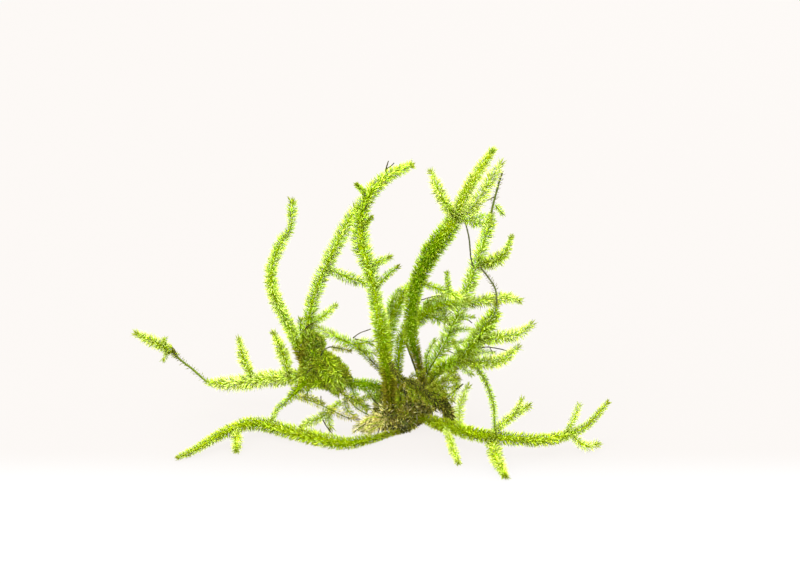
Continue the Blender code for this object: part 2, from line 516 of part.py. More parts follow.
def keep_largest_body(piece):
    """Welds the tiny edges that a cut leaves and keeps only the largest body."""
    mesh = bmesh.new()
    mesh.from_mesh(piece.data)
    bmesh.ops.remove_doubles(mesh, verts=mesh.verts, dist=WELD * MM)
    bmesh.ops.dissolve_degenerate(mesh, edges=mesh.edges, dist=WELD * MM)
    bodies = []
    unseen = set(mesh.verts)
    while unseen:
        stack = [unseen.pop()]
        body = set(stack)
        while stack:
            corner = stack.pop()
            for edge in corner.link_edges:
                neighbour = edge.other_vert(corner)
                if neighbour in unseen:
                    unseen.remove(neighbour)
                    body.add(neighbour)
                    stack.append(neighbour)
        bodies.append(body)
    bodies.sort(key=len)
    for body in bodies[:-1]:
        bmesh.ops.delete(mesh, geom=list(body), context="VERTS")
    mesh.to_mesh(piece.data)
    mesh.free()


def lumpy_ball(middle, half, fineness, extra=0.0):
    """A ball with lumps, extra wider all round, pressed flat at the surface."""
    mesh = bmesh.new()
    bmesh.ops.create_icosphere(mesh, subdivisions=fineness, radius=1.0)
    centre = Vector(middle)
    for corner in mesh.verts:
        way = corner.co.normalized()
        spot = Vector(way[axis] * half[axis] for axis in range(3))
        wave = noise.noise(centre + spot * LUMP_WAVE) + 0.5 * noise.noise(centre + spot * 2 * LUMP_WAVE)
        corner.co = (centre + spot + way * (LUMP_HEIGHT * wave + extra)) * MM
    press_on_surface(mesh)
    bmesh.ops.dissolve_limit(mesh, angle_limit=0.001, verts=mesh.verts, edges=mesh.edges)
    return mesh


def lumpy_mass(balls, name, extra=0.0):
    """An object of lumpy balls grown together, extra wider all round."""
    piece = object_from(lumpy_ball(*balls[0], extra), name, STEM_BROWN)
    for ball in balls[1:]:
        boolean(piece, object_from(lumpy_ball(*ball, extra), "lobe", STEM_BROWN), "UNION")
    keep_largest_body(piece)
    return piece


def shoot_part(rows, placing):
    """One shoot, leafy where it is wide and bare where it is thin."""
    path = smooth_path(rows, placing)
    mesh = skin_rings(leafy_rings(path), SHOOT_SIDES, path[-1][0])
    press_on_surface(mesh)
    return mesh


def shoot_guard(rows, placing):
    """An object that fills the space that neighbours keep clear of round one shoot."""
    path = smooth_path(rows, placing)
    tip, _ = path[-1]
    direction = (tip - path[-2][0]).normalized()
    mesh = skin_rings(plain_rings(path, GAP), GUARD_SIDES, tip + direction * 2 * GAP)
    return object_from(mesh, "guard", STEM_BROWN)


def skins_meet(first, second):
    """True if the two objects' surfaces pass through each other."""
    trees = []
    for piece in (first, second):
        mesh = bmesh.new()
        mesh.from_mesh(piece.data)
        trees.append(BVHTree.FromBMesh(mesh))
        mesh.free()
    return bool(trees[0].overlap(trees[1]))


def cut_back(piece, guards):
    """Cuts the piece back from every guard that it reaches."""
    for maker in guards:
        guard = maker()
        if skins_meet(piece, guard):
            boolean(piece, guard, "DIFFERENCE")
            keep_largest_body(piece)
        else:
            bpy.data.objects.remove(guard, do_unlink=True)


def build():
    """Builds the mat and the knot, then every shoot in turn."""
    clear_scene()
    guards = []
    for name, balls in (("crown_mat", MAT_BALLS), ("left_knot", KNOT_BALLS)):
        lumpy_mass(balls, name)
        guards.append(lambda shape=balls: lumpy_mass(shape, "guard", GAP))
    for name, slot, placing, parts in SHOOTS:
        piece = object_from(shoot_part(parts[0], placing), name, slot)
        for rows in parts[1:]:
            side_shoot = object_from(shoot_part(rows, placing), "side_shoot", slot)
            boolean(piece, side_shoot, "UNION")
        cut_back(piece, guards)
        for rows in parts:
            guards.append(lambda shape=(rows, placing): shoot_guard(*shape))


build()
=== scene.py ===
"""A clump of aquarium moss, dressed: small translucent leaves on every shoot, a matted crown and thin twigs.

Metres, +Z up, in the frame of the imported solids. Each piece stands for one solid of the same place and form.
Shoots are lists of points in millimetres as someone sees them who looks at the front from a little above:
across, up, then how far back the point lies or how high it is over the surface, then the half-width out to
the tips of the leaves.
"""
import math

import bmesh
import bpy
import numpy as np
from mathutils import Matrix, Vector, noise


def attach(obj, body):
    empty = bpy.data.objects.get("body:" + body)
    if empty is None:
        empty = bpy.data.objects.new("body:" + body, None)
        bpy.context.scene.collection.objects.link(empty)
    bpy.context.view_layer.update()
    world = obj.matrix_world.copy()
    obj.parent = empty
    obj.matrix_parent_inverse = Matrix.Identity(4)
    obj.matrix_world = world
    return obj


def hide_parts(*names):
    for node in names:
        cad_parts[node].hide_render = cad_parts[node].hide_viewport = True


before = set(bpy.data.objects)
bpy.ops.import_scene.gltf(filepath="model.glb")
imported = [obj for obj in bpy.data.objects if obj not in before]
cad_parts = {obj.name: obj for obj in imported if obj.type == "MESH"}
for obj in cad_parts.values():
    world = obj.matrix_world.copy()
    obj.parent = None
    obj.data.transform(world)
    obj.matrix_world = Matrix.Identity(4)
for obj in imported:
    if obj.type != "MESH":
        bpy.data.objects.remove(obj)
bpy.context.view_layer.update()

MM = 0.001
BODY = "root"

# The front view: how steeply it looks down, from how far, the point at its middle, and the camera's lens
VIEW_TILT = math.radians(20.0)
VIEW_DISTANCE = 600.0
VIEW_MIDDLE = (0.6, 26.6)
LENS = 135.0
SENSOR = 36.0
# Half of the table top's side, in metres, and the strength of the white room's light
FLOOR_HALF = 2.0
ROOM_LIGHT = 4.4

PATH_STEP = 0.2
FLOOR_CLEARANCE = 0.02
# Under this half-width a shoot is bare, and it is fully leafy where it is wider by the second number
BARE_RADIUS = 0.33
BARE_CHANGE = 0.08

# The turn from one leaf to the next, and how many leaves grow where a shoot's density says one
GOLDEN_ANGLE = math.radians(137.5)
LEAF_CROWDING = 3.3
# A leaf: how far along it is widest, how deep its keel is there, how far its edges are raised as a share of
# its half-width, and how far its foot is sunk as a share of its length
LEAF_WIDEST = 0.55
LEAF_KEEL = 0.04
LEAF_CUP = 0.22
LEAF_SUNK = 0.04
# On a shoot: the range of a leaf's least length, its greatest length, its width as a share of its length,
# and the limits of its width
LEAST_LEAF = (0.55, 1.05)
GREATEST_LEAF = 2.9
LEAF_SLIMNESS = 0.16
LEAF_WIDTHS = (0.18, 0.31)
# In degrees: how far a leaf stands off its shoot at the tip, how much further below it, and the limits
TIP_SPREAD = 26.0
ADDED_SPREAD = 45.0
SPREAD_LIMITS = (14.0, 94.0)

# A stem's own half-width: its share of a leafy shoot's with its limits, and its share of a bare shoot's
LEAFY_STEM = 0.16
LEAFY_STEM_LIMITS = (0.09, 0.22)
BARE_STEM = 0.74
STEM_SIDES = 8
STEM_STEP = 0.3
FIBRE_SIDES = 5

# The lumpy balls of the mat and of the left knot: middle and half-widths
MAT_BALLS = [((0.0, 0.0, 3.3), (4.7, 4.3, 4.9)), ((4.6, 0.2, 5.7), (4.2, 3.6, 3.1))]
KNOT_BALLS = [
    ((-15.2, 2.0, 11.2), (3.8, 2.7, 3.6)), ((-17.0, 2.2, 15.4), (2.2, 1.8, 3.5)),
    ((-12.2, 1.4, 10.0), (2.3, 1.9, 3.2)),
]
LUMP_HEIGHT = 1.2
LUMP_WAVE = 0.42


def view_middle_height():
    """Height, in millimetres, of the point at the middle of the front view, on the plane through the mat."""
    up = -VIEW_MIDDLE[1]
    return -up * VIEW_DISTANCE / (VIEW_DISTANCE * math.cos(VIEW_TILT) + up * math.sin(VIEW_TILT))


def by_depth(across, up, depth):
    """The point seen at (across, up) that lies depth behind the middle of the mat, in millimetres."""
    across = across - VIEW_MIDDLE[0]
    up = up - VIEW_MIDDLE[1]
    sine, cosine = math.sin(VIEW_TILT), math.cos(VIEW_TILT)
    top = up * (VIEW_DISTANCE + depth * cosine) - VIEW_DISTANCE * depth * sine
    height = top / (VIEW_DISTANCE * cosine + up * sine)
    reach = VIEW_DISTANCE + depth * cosine - height * sine
    side = across * reach / VIEW_DISTANCE
    return VIEW_MIDDLE[0] + side, depth, height + view_middle_height()


def by_height(across, up, height):
    """The point seen at (across, up) that is height over the surface, in millimetres."""
    from_middle = height - view_middle_height()
    up_from_middle = up - VIEW_MIDDLE[1]
    sine, cosine = math.sin(VIEW_TILT), math.cos(VIEW_TILT)
    top = from_middle * (VIEW_DISTANCE * cosine + up_from_middle * sine) - up_from_middle * VIEW_DISTANCE
    depth = top / (up_from_middle * cosine - VIEW_DISTANCE * sine)
    return by_depth(across, up, depth)


def by_plan(side, depth, height):
    """The point at this side and depth from the middle of the mat, height over the surface."""
    return side, depth, height


def shoots(slot, *parts, place=by_depth, body=0.4, further=1.0):
    """What one node's shoots are made from: its record slot, and its parts.

    Each part has its points, how many leaves it has on a millimetre, and the age of its leaves by share of
    its length, where 0 is old and brown, 1 full grown and 2 young. place says what the third number of a
    point means, body how thick the close inner leaves are as a share of the half-width, and further how
    much further than the solid the fine leaves reach.
    """
    return slot, parts, place, body, further


LEFT_ARM = [
    (-16.8, 10.2, 2.6, 1.0), (-19.4, 9.8, 3.5, 1.2), (-23.4, 9.4, 5.0, 1.3), (-26.4, 9.2, 6.2, 1.3),
    (-29.4, 8.8, 7.4, 1.3), (-32.4, 8.4, 8.4, 1.2), (-35.4, 8.3, 9.2, 1.0), (-37.2, 8.5, 9.6, 0.6),
    (-38.2, 8.8, 9.8, 0.32), (-40.8, 11.1, 10.2, 0.32), (-42.4, 12.3, 10.2, 0.32), (-43.8, 13.5, 10.0, 0.32),
    (-44.8, 14.5, 9.8, 0.5), (-45.6, 15.0, 9.6, 0.8), (-47.4, 16.0, 9.0, 0.9), (-49.4, 17.0, 8.4, 0.9),
    (-52.0, 18.2, 7.6, 0.5),
]
LEFT_ARM_FIRST_SHOOT = [
    (-21.6, 9.6, 4.5, 0.7), (-22.2, 12.4, 3.8, 0.95), (-23.2, 15.2, 3.0, 0.95), (-24.6, 18.2, 2.0, 0.5),
]
LEFT_ARM_SECOND_SHOOT = [
    (-29.0, 9.4, 7.4, 0.7), (-30.0, 11.8, 6.6, 0.9), (-30.8, 13.6, 6.0, 0.9), (-31.6, 17.0, 5.2, 0.5),
]
LOW_LEFT = [
    (2.8, -1.0, 0.4, 0.4), (1.2, -1.2, 0.4, 0.4), (-1.4, -1.8, 0.6, 0.5), (-4.4, -2.7, 0.8, 0.7),
    (-7.4, -3.3, 1.0, 1.0), (-10.4, -3.7, 1.1, 1.15), (-13.4, -3.3, 1.3, 1.3), (-19.4, -1.9, 1.4, 1.3),
    (-22.4, -1.1, 1.7, 1.25), (-26.4, 0.1, 2.3, 1.2), (-28.4, 0.3, 2.6, 1.15), (-30.4, 0.1, 2.9, 1.05),
    (-32.4, -0.5, 3.0, 1.0), (-36.4, -2.5, 2.4, 0.85), (-38.4, -3.7, 1.9, 0.75), (-40.4, -4.9, 1.3, 0.7),
    (-43.6, -6.4, 0.6, 0.5),
]
LOW_LEFT_SHOOT = [
    (-32.6, -0.6, 2.8, 0.7), (-32.0, -2.6, 2.0, 0.9), (-32.0, -3.8, 1.3, 0.85), (-32.2, -4.8, 0.8, 0.5),
]
LEFT_CURL = [
    (-17.0, 11.0, 2.0, 0.8), (-18.4, 12.0, 1.5, 0.8), (-20.2, 16.6, -0.5, 0.85), (-21.4, 19.4, -2.0, 0.95),
    (-23.2, 22.8, -3.5, 1.0), (-24.8, 26.6, -5.5, 1.0), (-25.2, 29.6, -6.5, 0.95), (-24.8, 32.6, -7.0, 0.9),
    (-23.2, 36.4, -7.0, 0.9), (-21.8, 38.4, -6.5, 0.7), (-21.2, 39.6, -6.0, 0.6), (-21.0, 42.4, -5.0, 0.85),
    (-21.0, 44.4, -4.0, 0.6),
]
LEFT_UPRIGHT = [
    (-16.6, 13.0, 3.0, 0.8), (-17.0, 16.0, 3.4, 0.9), (-17.7, 19.4, 4.0, 1.1), (-17.0, 24.4, 5.0, 1.1),
    (-15.6, 28.4, 6.0, 1.15), (-13.1, 34.0, 7.5, 1.15), (-10.2, 39.8, 8.5, 1.1), (-8.2, 43.2, 8.5, 0.9),
]
LEFT_UPRIGHT_LOWER_SHOOT = [
    (-17.2, 20.2, 4.2, 0.6), (-14.8, 21.7, 3.8, 0.75), (-12.3, 23.9, 3.2, 0.45),
]
LEFT_UPRIGHT_CROSS_SHOOT = [
    (-14.4, 31.4, 6.8, 0.75), (-10.2, 29.7, 6.4, 0.95), (-7.0, 28.6, 5.8, 0.8), (-5.6, 28.4, 5.5, 0.5),
]
TALL_LEFT = [
    (-1.2, 3.0, -2.0, 1.1), (-1.4, 6.0, -3.0, 1.2), (-1.8, 10.0, -4.0, 1.1), (-2.6, 14.0, -4.4, 1.2),
    (-3.0, 18.0, -5.0, 1.35), (-3.7, 22.0, -5.4, 1.3), (-4.5, 26.4, -5.4, 1.2), (-5.6, 31.4, -5.0, 1.4),
    (-7.2, 36.0, -4.4, 1.5), (-7.3, 40.0, -3.6, 1.35), (-6.9, 43.2, -2.6, 1.25), (-5.7, 45.9, -1.2, 1.25),
    (-3.3, 48.6, 0.5, 1.15), (-0.7, 50.5, 2.2, 1.05), (1.1, 51.2, 3.2, 0.85), (2.6, 51.9, 4.2, 0.4),
]
TALL_LEFT_FIRST_SHOOT = [
    (-4.6, 27.2, -5.3, 0.5), (-1.8, 30.1, -5.8, 0.65), (0.2, 31.6, -6.0, 0.35),
]
TALL_LEFT_SECOND_SHOOT = [
    (-5.8, 31.4, -5.0, 0.7), (-4.2, 32.4, -5.2, 0.85), (-1.8, 33.4, -5.6, 0.5),
]
TALL_LEFT_BUDS = [
    [(-7.2, 39.2, -3.8, 0.5), (-5.2, 41.4, -4.6, 0.45)],
    [(-6.0, 46.0, -1.3, 0.5), (-8.0, 48.0, -2.4, 0.45)],
]
FORK = [
    (-1.0, 6.6, 1.5, 0.9), (-1.8, 11.0, 2.2, 1.1), (-2.2, 15.0, 3.0, 1.2), (-1.6, 19.0, 3.8, 1.2),
    (-0.4, 23.0, 4.6, 1.25), (1.2, 26.0, 5.2, 1.15), (3.0, 28.4, 5.6, 0.7),
]
THICK = [
    (5.4, 7.0, 0.0, 0.6), (4.8, 10.6, -0.5, 0.6), (4.0, 13.8, -1.0, 0.8), (3.0, 17.0, -1.5, 1.1),
    (2.8, 20.6, -1.8, 1.2), (3.2, 25.0, -2.2, 1.25), (4.5, 29.6, -2.8, 1.4), (6.3, 33.6, -3.4, 1.65),
    (8.3, 36.6, -3.8, 1.7), (10.7, 39.8, -4.2, 1.55), (12.5, 43.6, -4.6, 1.2), (14.0, 47.0, -5.0, 1.1),
    (16.0, 50.2, -5.4, 1.0), (17.9, 53.0, -5.8, 0.9), (18.9, 54.6, -6.0, 0.5),
]
THICK_LEFT = [
    (11.8, 41.6, -4.8, 0.8), (10.6, 43.0, -5.8, 0.9), (9.6, 44.4, -6.6, 0.95), (8.0, 47.6, -7.8, 0.85),
    (6.8, 50.6, -8.6, 0.4),
]
THICK_TWIN = [
    (12.0, 41.8, -4.0, 0.8), (14.3, 42.9, -2.4, 1.0), (15.6, 44.0, -1.4, 1.1), (17.6, 47.2, 0.2, 1.1),
    (18.8, 49.3, 1.0, 1.0), (20.8, 52.3, 1.8, 0.45),
]
THICK_RIGHT = [
    (11.8, 41.6, -4.6, 0.7), (14.6, 40.8, -6.2, 0.8), (16.0, 40.2, -6.8, 0.8), (18.6, 40.6, -6.8, 0.5),
]
THICK_TWIG = [
    (13.6, 40.8, -5.8, 0.2), (14.4, 37.4, -6.4, 0.2), (14.8, 33.4, -6.0, 0.2), (15.4, 31.4, -5.4, 0.18),
]
CROSSING = [
    (5.2, 28.4, -3.4, 0.6), (8.6, 27.1, -3.6, 0.85), (11.8, 25.8, -2.8, 0.8), (13.0, 25.2, -2.2, 0.5),
]
CROSSING_SHOOT = [
    (10.4, 26.2, -3.2, 0.45), (10.2, 28.2, -3.4, 0.5), (10.0, 30.4, -3.2, 0.35),
]
BROAD_SIDE = [
    (0.4, 7.0, -0.6, 0.55), (0.2, 10.6, -0.4, 0.7), (0.4, 14.0, 0.6, 0.85), (1.2, 17.6, 2.0, 1.1),
    (2.8, 20.0, 2.5, 1.3), (4.2, 21.4, 2.3, 1.4), (6.2, 22.8, 2.0, 1.4), (8.6, 23.9, 1.8, 1.35),
    (11.0, 24.6, 1.5, 1.15), (13.2, 25.0, 1.4, 0.7),
]
BROAD_SIDE_ROOT = [
    (1.6, 17.0, 2.0, 0.4), (2.2, 15.4, 1.8, 0.32), (3.0, 13.2, 1.4, 0.3), (4.0, 10.4, 1.2, 0.3),
    (4.6, 8.4, 1.2, 0.3),
]
SLENDER_RIGHT = [
    (5.4, 6.6, 2.6, 0.7), (6.2, 10.4, 3.6, 0.9), (8.0, 13.6, 4.6, 1.05), (9.6, 16.4, 5.6, 1.1),
    (11.2, 20.0, 6.6, 1.15), (12.6, 23.4, 7.4, 1.15), (13.8, 26.4, 8.0, 1.1), (15.2, 30.0, 8.4, 1.1),
    (16.6, 34.4, 8.8, 1.0), (18.6, 40.2, 9.4, 0.85), (18.8, 41.8, 9.6, 0.4), (19.2, 44.0, 9.8, 0.3),
    (20.2, 47.8, 10.0, 0.3), (21.0, 50.4, 10.0, 0.25),
]
HOOK = [
    (16.0, 32.5, 8.4, 0.85), (17.8, 32.4, 7.4, 1.05), (19.5, 32.8, 6.6, 1.05), (20.8, 33.6, 6.0, 0.95),
    (22.0, 35.0, 5.6, 0.7), (22.9, 37.6, 5.2, 0.35),
]
LEVEL = [
    (13.0, 24.3, 7.6, 0.75), (15.6, 24.6, 8.6, 0.9), (19.6, 25.2, 9.8, 0.9), (21.6, 25.5, 10.4, 0.8),
    (23.0, 25.4, 10.8, 0.65), (24.3, 24.9, 11.0, 0.4),
]
RIGHT_MID = [
    (6.2, 7.4, -0.8, 0.6), (8.6, 11.4, -1.8, 0.9), (10.6, 12.2, -2.6, 1.1), (12.6, 13.0, -3.4, 1.1),
    (13.8, 14.2, -3.8, 1.25), (15.3, 16.0, -4.2, 1.4), (17.3, 19.0, -4.6, 1.35), (19.1, 21.6, -4.6, 1.05),
    (19.8, 23.2, -4.4, 0.5), (19.9, 25.6, -3.6, 0.26), (19.5, 27.6, -2.4, 0.24), (17.9, 30.0, -0.6, 0.24),
    (16.6, 31.6, 0.8, 0.22),
]
RIGHT_MID_UPPER = [
    (16.2, 16.9, -4.4, 0.75), (18.6, 17.2, -5.6, 0.95), (20.6, 17.6, -6.4, 0.95), (22.6, 17.8, -7.0, 0.95),
    (24.7, 18.4, -7.2, 0.85), (26.8, 20.0, -7.0, 0.4),
]
RIGHT_MID_LOWER = [
    (12.4, 12.7, -3.4, 0.65), (15.0, 12.4, -5.2, 0.95), (19.0, 12.6, -7.0, 0.95), (20.6, 12.8, -7.8, 0.9),
    (22.0, 13.6, -8.2, 0.8), (24.1, 15.5, -8.4, 0.45),
]
DROOPING = [
    (13.8, 13.2, -4.2, 0.55), (15.4, 11.9, -6.8, 0.65), (16.5, 10.7, -8.4, 0.65), (17.6, 9.0, -10.2, 0.65),
    (18.4, 7.0, -11.8, 0.65), (19.0, 5.0, -13.4, 0.65), (19.4, 3.0, -15.0, 0.6), (19.5, -0.8, -17.2, 0.5),
    (19.3, -1.8, -17.9, 0.4),
]
RIGHT_ARM = [
    (2.6, 2.0, 3.2, 0.7), (6.2, 1.0, 2.6, 0.9), (8.6, 0.2, 3.2, 1.1), (10.6, -0.4, 3.5, 1.1),
    (12.6, -1.0, 3.8, 1.1), (14.6, -1.6, 4.0, 1.15), (16.6, -2.0, 4.2, 1.15), (19.0, -2.3, 4.3, 1.2),
    (21.6, -2.6, 4.2, 1.15), (24.2, -2.8, 3.9, 1.1), (26.6, -3.0, 3.5, 1.1), (29.0, -3.0, 3.1, 1.05),
    (31.6, -2.7, 3.0, 1.0), (33.6, -2.1, 3.2, 0.9), (36.2, -1.1, 4.0, 0.75), (38.0, -0.1, 5.0, 0.7),
    (39.4, 1.3, 6.4, 0.65), (40.8, 2.9, 8.0, 0.6), (42.1, 4.4, 9.4, 0.35),
]
RIGHT_ARM_UP = [
    (33.9, -1.8, 3.4, 0.6), (35.7, 2.0, 7.0, 0.75), (36.3, 3.8, 8.8, 0.4),
]
RIGHT_ARM_END = [
    (34.6, -1.6, 3.4, 0.6), (36.0, -3.0, 2.2, 0.8), (37.0, -3.9, 1.4, 0.9), (38.4, -4.3, 1.0, 0.85),
    (39.7, -3.9, 1.2, 0.5),
]
RIGHT_ARM_FORK = [
    (18.8, -2.0, 4.4, 0.6), (20.8, 0.0, 7.0, 0.85), (22.5, 1.3, 8.6, 0.9), (23.9, 2.5, 10.0, 0.85),
    (25.2, 3.2, 11.0, 0.75), (26.2, 3.7, 11.8, 0.4),
]
RIGHT_ARM_FORK_TIP = [
    (23.5, 2.1, 9.6, 0.5), (24.4, 3.9, 11.4, 0.6), (25.0, 5.2, 12.8, 0.35),
]
RIGHT_ARM_DOWN = [
    (19.0, -2.4, 4.0, 0.9), (19.3, -4.6, 2.8, 1.25), (19.8, -6.4, 2.0, 1.15), (20.5, -8.0, 1.4, 0.95),
    (21.1, -9.2, 1.0, 0.75), (21.6, -10.2, 0.7, 0.5),
]
PALE_DOWN = [
    (9.8, -0.6, 3.2, 0.6), (10.6, -3.0, 2.6, 0.75), (11.2, -5.0, 1.8, 0.75), (11.9, -6.5, 1.1, 0.65),
    (12.2, -7.5, 0.7, 0.45),
]
PALE_UPRIGHT = [
    (12.2, -0.6, -11.6, 0.65), (12.5, 1.4, -10.0, 0.8), (12.5, 3.4, -9.2, 0.9), (13.1, 5.4, -8.6, 0.85),
    (13.7, 6.8, -8.2, 0.6), (14.2, 7.6, -8.0, 0.4),
]
SHORT_OLIVE = [
    (5.8, 6.4, -1.6, 0.5), (7.6, 8.0, -4.0, 0.6), (9.2, 9.0, -4.6, 0.65), (11.8, 11.2, -5.0, 0.4),
]
THIN_BROWN = [
    (9.6, 5.0, -5.0, 0.25), (11.0, 6.4, -5.5, 0.25), (13.2, 8.2, -6.2, 0.2),
]
DARK_CURVED = [
    (-1.2, 12.6, -6.2, 0.35), (-0.6, 11.0, -6.4, 0.4), (0.2, 9.8, -6.4, 0.4), (1.6, 9.0, -6.2, 0.4),
    (4.6, 7.8, -6.0, 0.42), (5.8, 6.6, -6.0, 0.42), (7.2, 5.2, -5.8, 0.42), (9.0, 3.6, -5.0, 0.42),
]
STUB = [
    (6.6, 5.0, -2.0, 0.7), (8.8, 4.8, -3.0, 0.9), (9.6, 3.8, -3.8, 1.15), (10.4, 2.2, -4.6, 1.2),
    (11.2, 0.6, -5.2, 0.9),
]
TUFT = [
    (-0.8, 1.6, -2.6, 0.9), (-3.6, 0.9, -4.6, 1.15), (-5.8, 0.0, -6.0, 1.35), (-7.2, -0.9, -7.0, 1.1),
    (-8.5, -1.7, -7.6, 0.5),
]
BRIDGE = [
    (-12.8, 9.2, 1.8, 0.9), (-8.4, 8.2, 1.0, 1.1), (-5.4, 8.0, 0.5, 1.15), (-0.8, 7.0, 0.0, 0.9),
]
KNOT_STEM = [
    (-13.2, 9.0, -0.4, 0.4), (-11.8, 7.4, -1.2, 0.4), (-9.0, 4.4, -1.6, 0.4), (-7.8, 3.2, -1.8, 0.4),
    (-5.0, 1.8, -2.0, 0.4), (-1.8, 1.6, -1.6, 0.4),
]
GREY = [
    (-15.4, 13.4, 0.8, 0.28), (-14.8, 14.8, -0.6, 0.28), (-13.4, 15.6, -1.8, 0.28), (-11.8, 15.4, -2.4, 0.28),
    (-9.0, 14.8, -3.0, 0.24),
]
KNOT_DROP = [
    (-16.4, 10.2, 0.4, 0.8), (-19.0, 7.9, -1.5, 1.15), (-20.4, 6.4, -2.8, 1.0), (-21.6, 5.2, -3.6, 0.7),
    (-23.8, 3.4, -4.6, 0.55), (-24.6, 2.0, -5.2, 0.5), (-25.0, 0.8, -6.0, 0.45),
]
BROWN_LEAFY = [
    (-19.8, 5.4, -6.0, 0.5), (-17.8, 5.0, -6.2, 0.7), (-14.4, 3.6, -6.4, 0.7), (-11.2, 2.0, -6.4, 0.7),
    (-9.6, 1.4, -6.6, 0.55), (-8.0, 1.2, -6.2, 0.4),
]
SMALL_BRIGHT = [
    (-11.2, 4.8, -4.0, 0.5), (-12.8, 3.4, -4.2, 0.8), (-14.4, 2.0, -4.6, 0.9), (-16.4, 1.0, -5.4, 0.9),
    (-18.4, 0.2, -6.4, 0.7), (-19.4, -1.0, -7.8, 0.5),
]
UPPER_ARCH = [
    (-0.4, 5.8, -0.8, 0.45), (-1.2, 8.0, -1.0, 0.45), (-3.0, 10.6, -1.2, 0.5), (-4.6, 12.3, -1.4, 0.65),
    (-7.4, 15.2, -1.0, 0.85), (-9.0, 16.2, -0.8, 0.95), (-12.6, 17.8, -0.4, 0.95), (-15.8, 19.5, 0.4, 0.5),
]
BACK_LEFT = [
    (1.2, 2.0, 3.0, 0.9), (-0.3, 8.0, 2.6, 1.1), (-1.3, 13.0, 1.5, 1.1), (-1.0, 18.0, 1.1, 1.0),
    (-2.3, 23.0, 0.8, 0.5),
]
BACK_RIGHT = [
    (3.4, 2.0, 4.0, 0.8), (5.2, 7.0, 4.2, 1.0), (6.7, 11.0, 2.8, 1.0), (7.2, 15.0, 1.3, 1.0),
    (6.2, 19.0, 0.8, 0.5),
]

# Thin dark twigs and small buds that are too fine for a solid, each on the piece that carries it
TWIGS = {
    "broad_side_frond": [
        [(4.8, 25.0, 2.0, 0.12), (6.2, 25.4, 1.6, 0.11), (7.8, 25.8, 1.3, 0.1), (9.8, 25.8, 1.2, 0.1),
         (11.0, 25.6, 1.2, 0.08)],
        [(9.2, 22.4, 1.8, 0.1), (10.0, 21.2, 1.6, 0.09), (10.6, 20.0, 1.6, 0.07)],
    ],
    "right_mid_frond": [
        [(16.2, 15.2, -4.2, 0.13), (18.0, 15.6, -4.6, 0.12), (20.6, 15.2, -5.0, 0.11),
         (22.2, 14.8, -5.4, 0.1), (23.4, 15.0, -5.6, 0.08)],
        [(18.6, 15.4, -4.7, 0.1), (19.4, 14.0, -5.0, 0.09), (20.0, 13.0, -5.2, 0.07)],
    ],
    "slender_right_frond": [
        [(9.8, 15.0, 5.2, 0.12), (11.2, 14.4, 4.8, 0.1), (12.2, 14.0, 4.6, 0.07)],
        [(12.8, 21.2, 6.8, 0.12), (14.2, 21.0, 6.4, 0.1), (15.0, 20.4, 6.2, 0.07)],
        [(11.2, 19.2, 6.2, 0.12), (12.6, 19.4, 5.9, 0.1), (14.0, 19.0, 5.7, 0.07)],
        [(10.4, 17.0, 5.6, 0.12), (12.0, 16.6, 5.2, 0.1), (14.0, 16.8, 5.0, 0.07)],
        [(19.4, 45.6, 9.9, 0.12), (18.2, 45.0, 9.8, 0.1), (17.4, 44.6, 9.7, 0.07)],
        [(19.6, 44.0, 9.8, 0.13), (20.6, 42.8, 9.6, 0.12), (21.2, 42.2, 9.5, 0.08)],
    ],
    "tall_left_frond": [
        [(-2.4, 49.8, 1.2, 0.15), (-2.1, 51.6, 1.0, 0.15), (-1.7, 52.8, 0.8, 0.1)],
        [(-2.1, 51.2, 1.0, 0.12), (-1.2, 51.8, 0.9, 0.1), (-0.6, 52.4, 0.8, 0.07)],
        [(-7.0, 41.6, -3.2, 0.13), (-6.2, 43.6, -3.6, 0.12), (-5.6, 44.6, -3.8, 0.08)],
    ],
    "low_left_frond": [
        [(-2.6, 1.6, 3.2, 0.12), (-3.4, -0.4, 1.8, 0.12), (-4.0, -2.4, 0.6, 0.08)],
    ],
    "left_upright_frond": [
        [(-17.6, 16.0, 3.6, 0.12), (-18.2, 19.4, 3.0, 0.1), (-16.8, 20.4, 2.8, 0.07)],
    ],
    "left_arm_frond": [
        [(-44.2, 14.2, 9.9, 0.2), (-44.7, 15.0, 9.9, 0.34), (-45.1, 15.6, 9.9, 0.16)],
    ],
    "upper_arch_frond": [
        [(-8.8, 17.4, -0.8, 0.12), (-7.4, 18.4, -1.0, 0.1), (-5.2, 19.2, -1.4, 0.07)],
        [(-8.4, 17.2, -0.8, 0.12), (-5.4, 16.6, -1.2, 0.09)],
    ],
    "left_knot": [
        [(-19.0, 18.2, 2.6, 0.13), (-18.2, 19.4, 2.0, 0.12), (-16.8, 20.4, 1.6, 0.08)],
    ],
    "brown_leafy_stem": [
        [(-14.8, 1.0, -6.2, 0.13), (-14.0, -0.4, -6.0, 0.12), (-12.4, -2.4, -5.8, 0.1)],
        [(-15.2, 4.0, -6.3, 0.1), (-15.2, 5.8, -6.0, 0.08)],
    ],
    "brown_knot_stem": [
        [(-5.0, 5.4, -1.8, 0.14), (-3.8, 4.2, -2.0, 0.14), (-1.4, 3.6, -2.2, 0.1)],
    ],
}
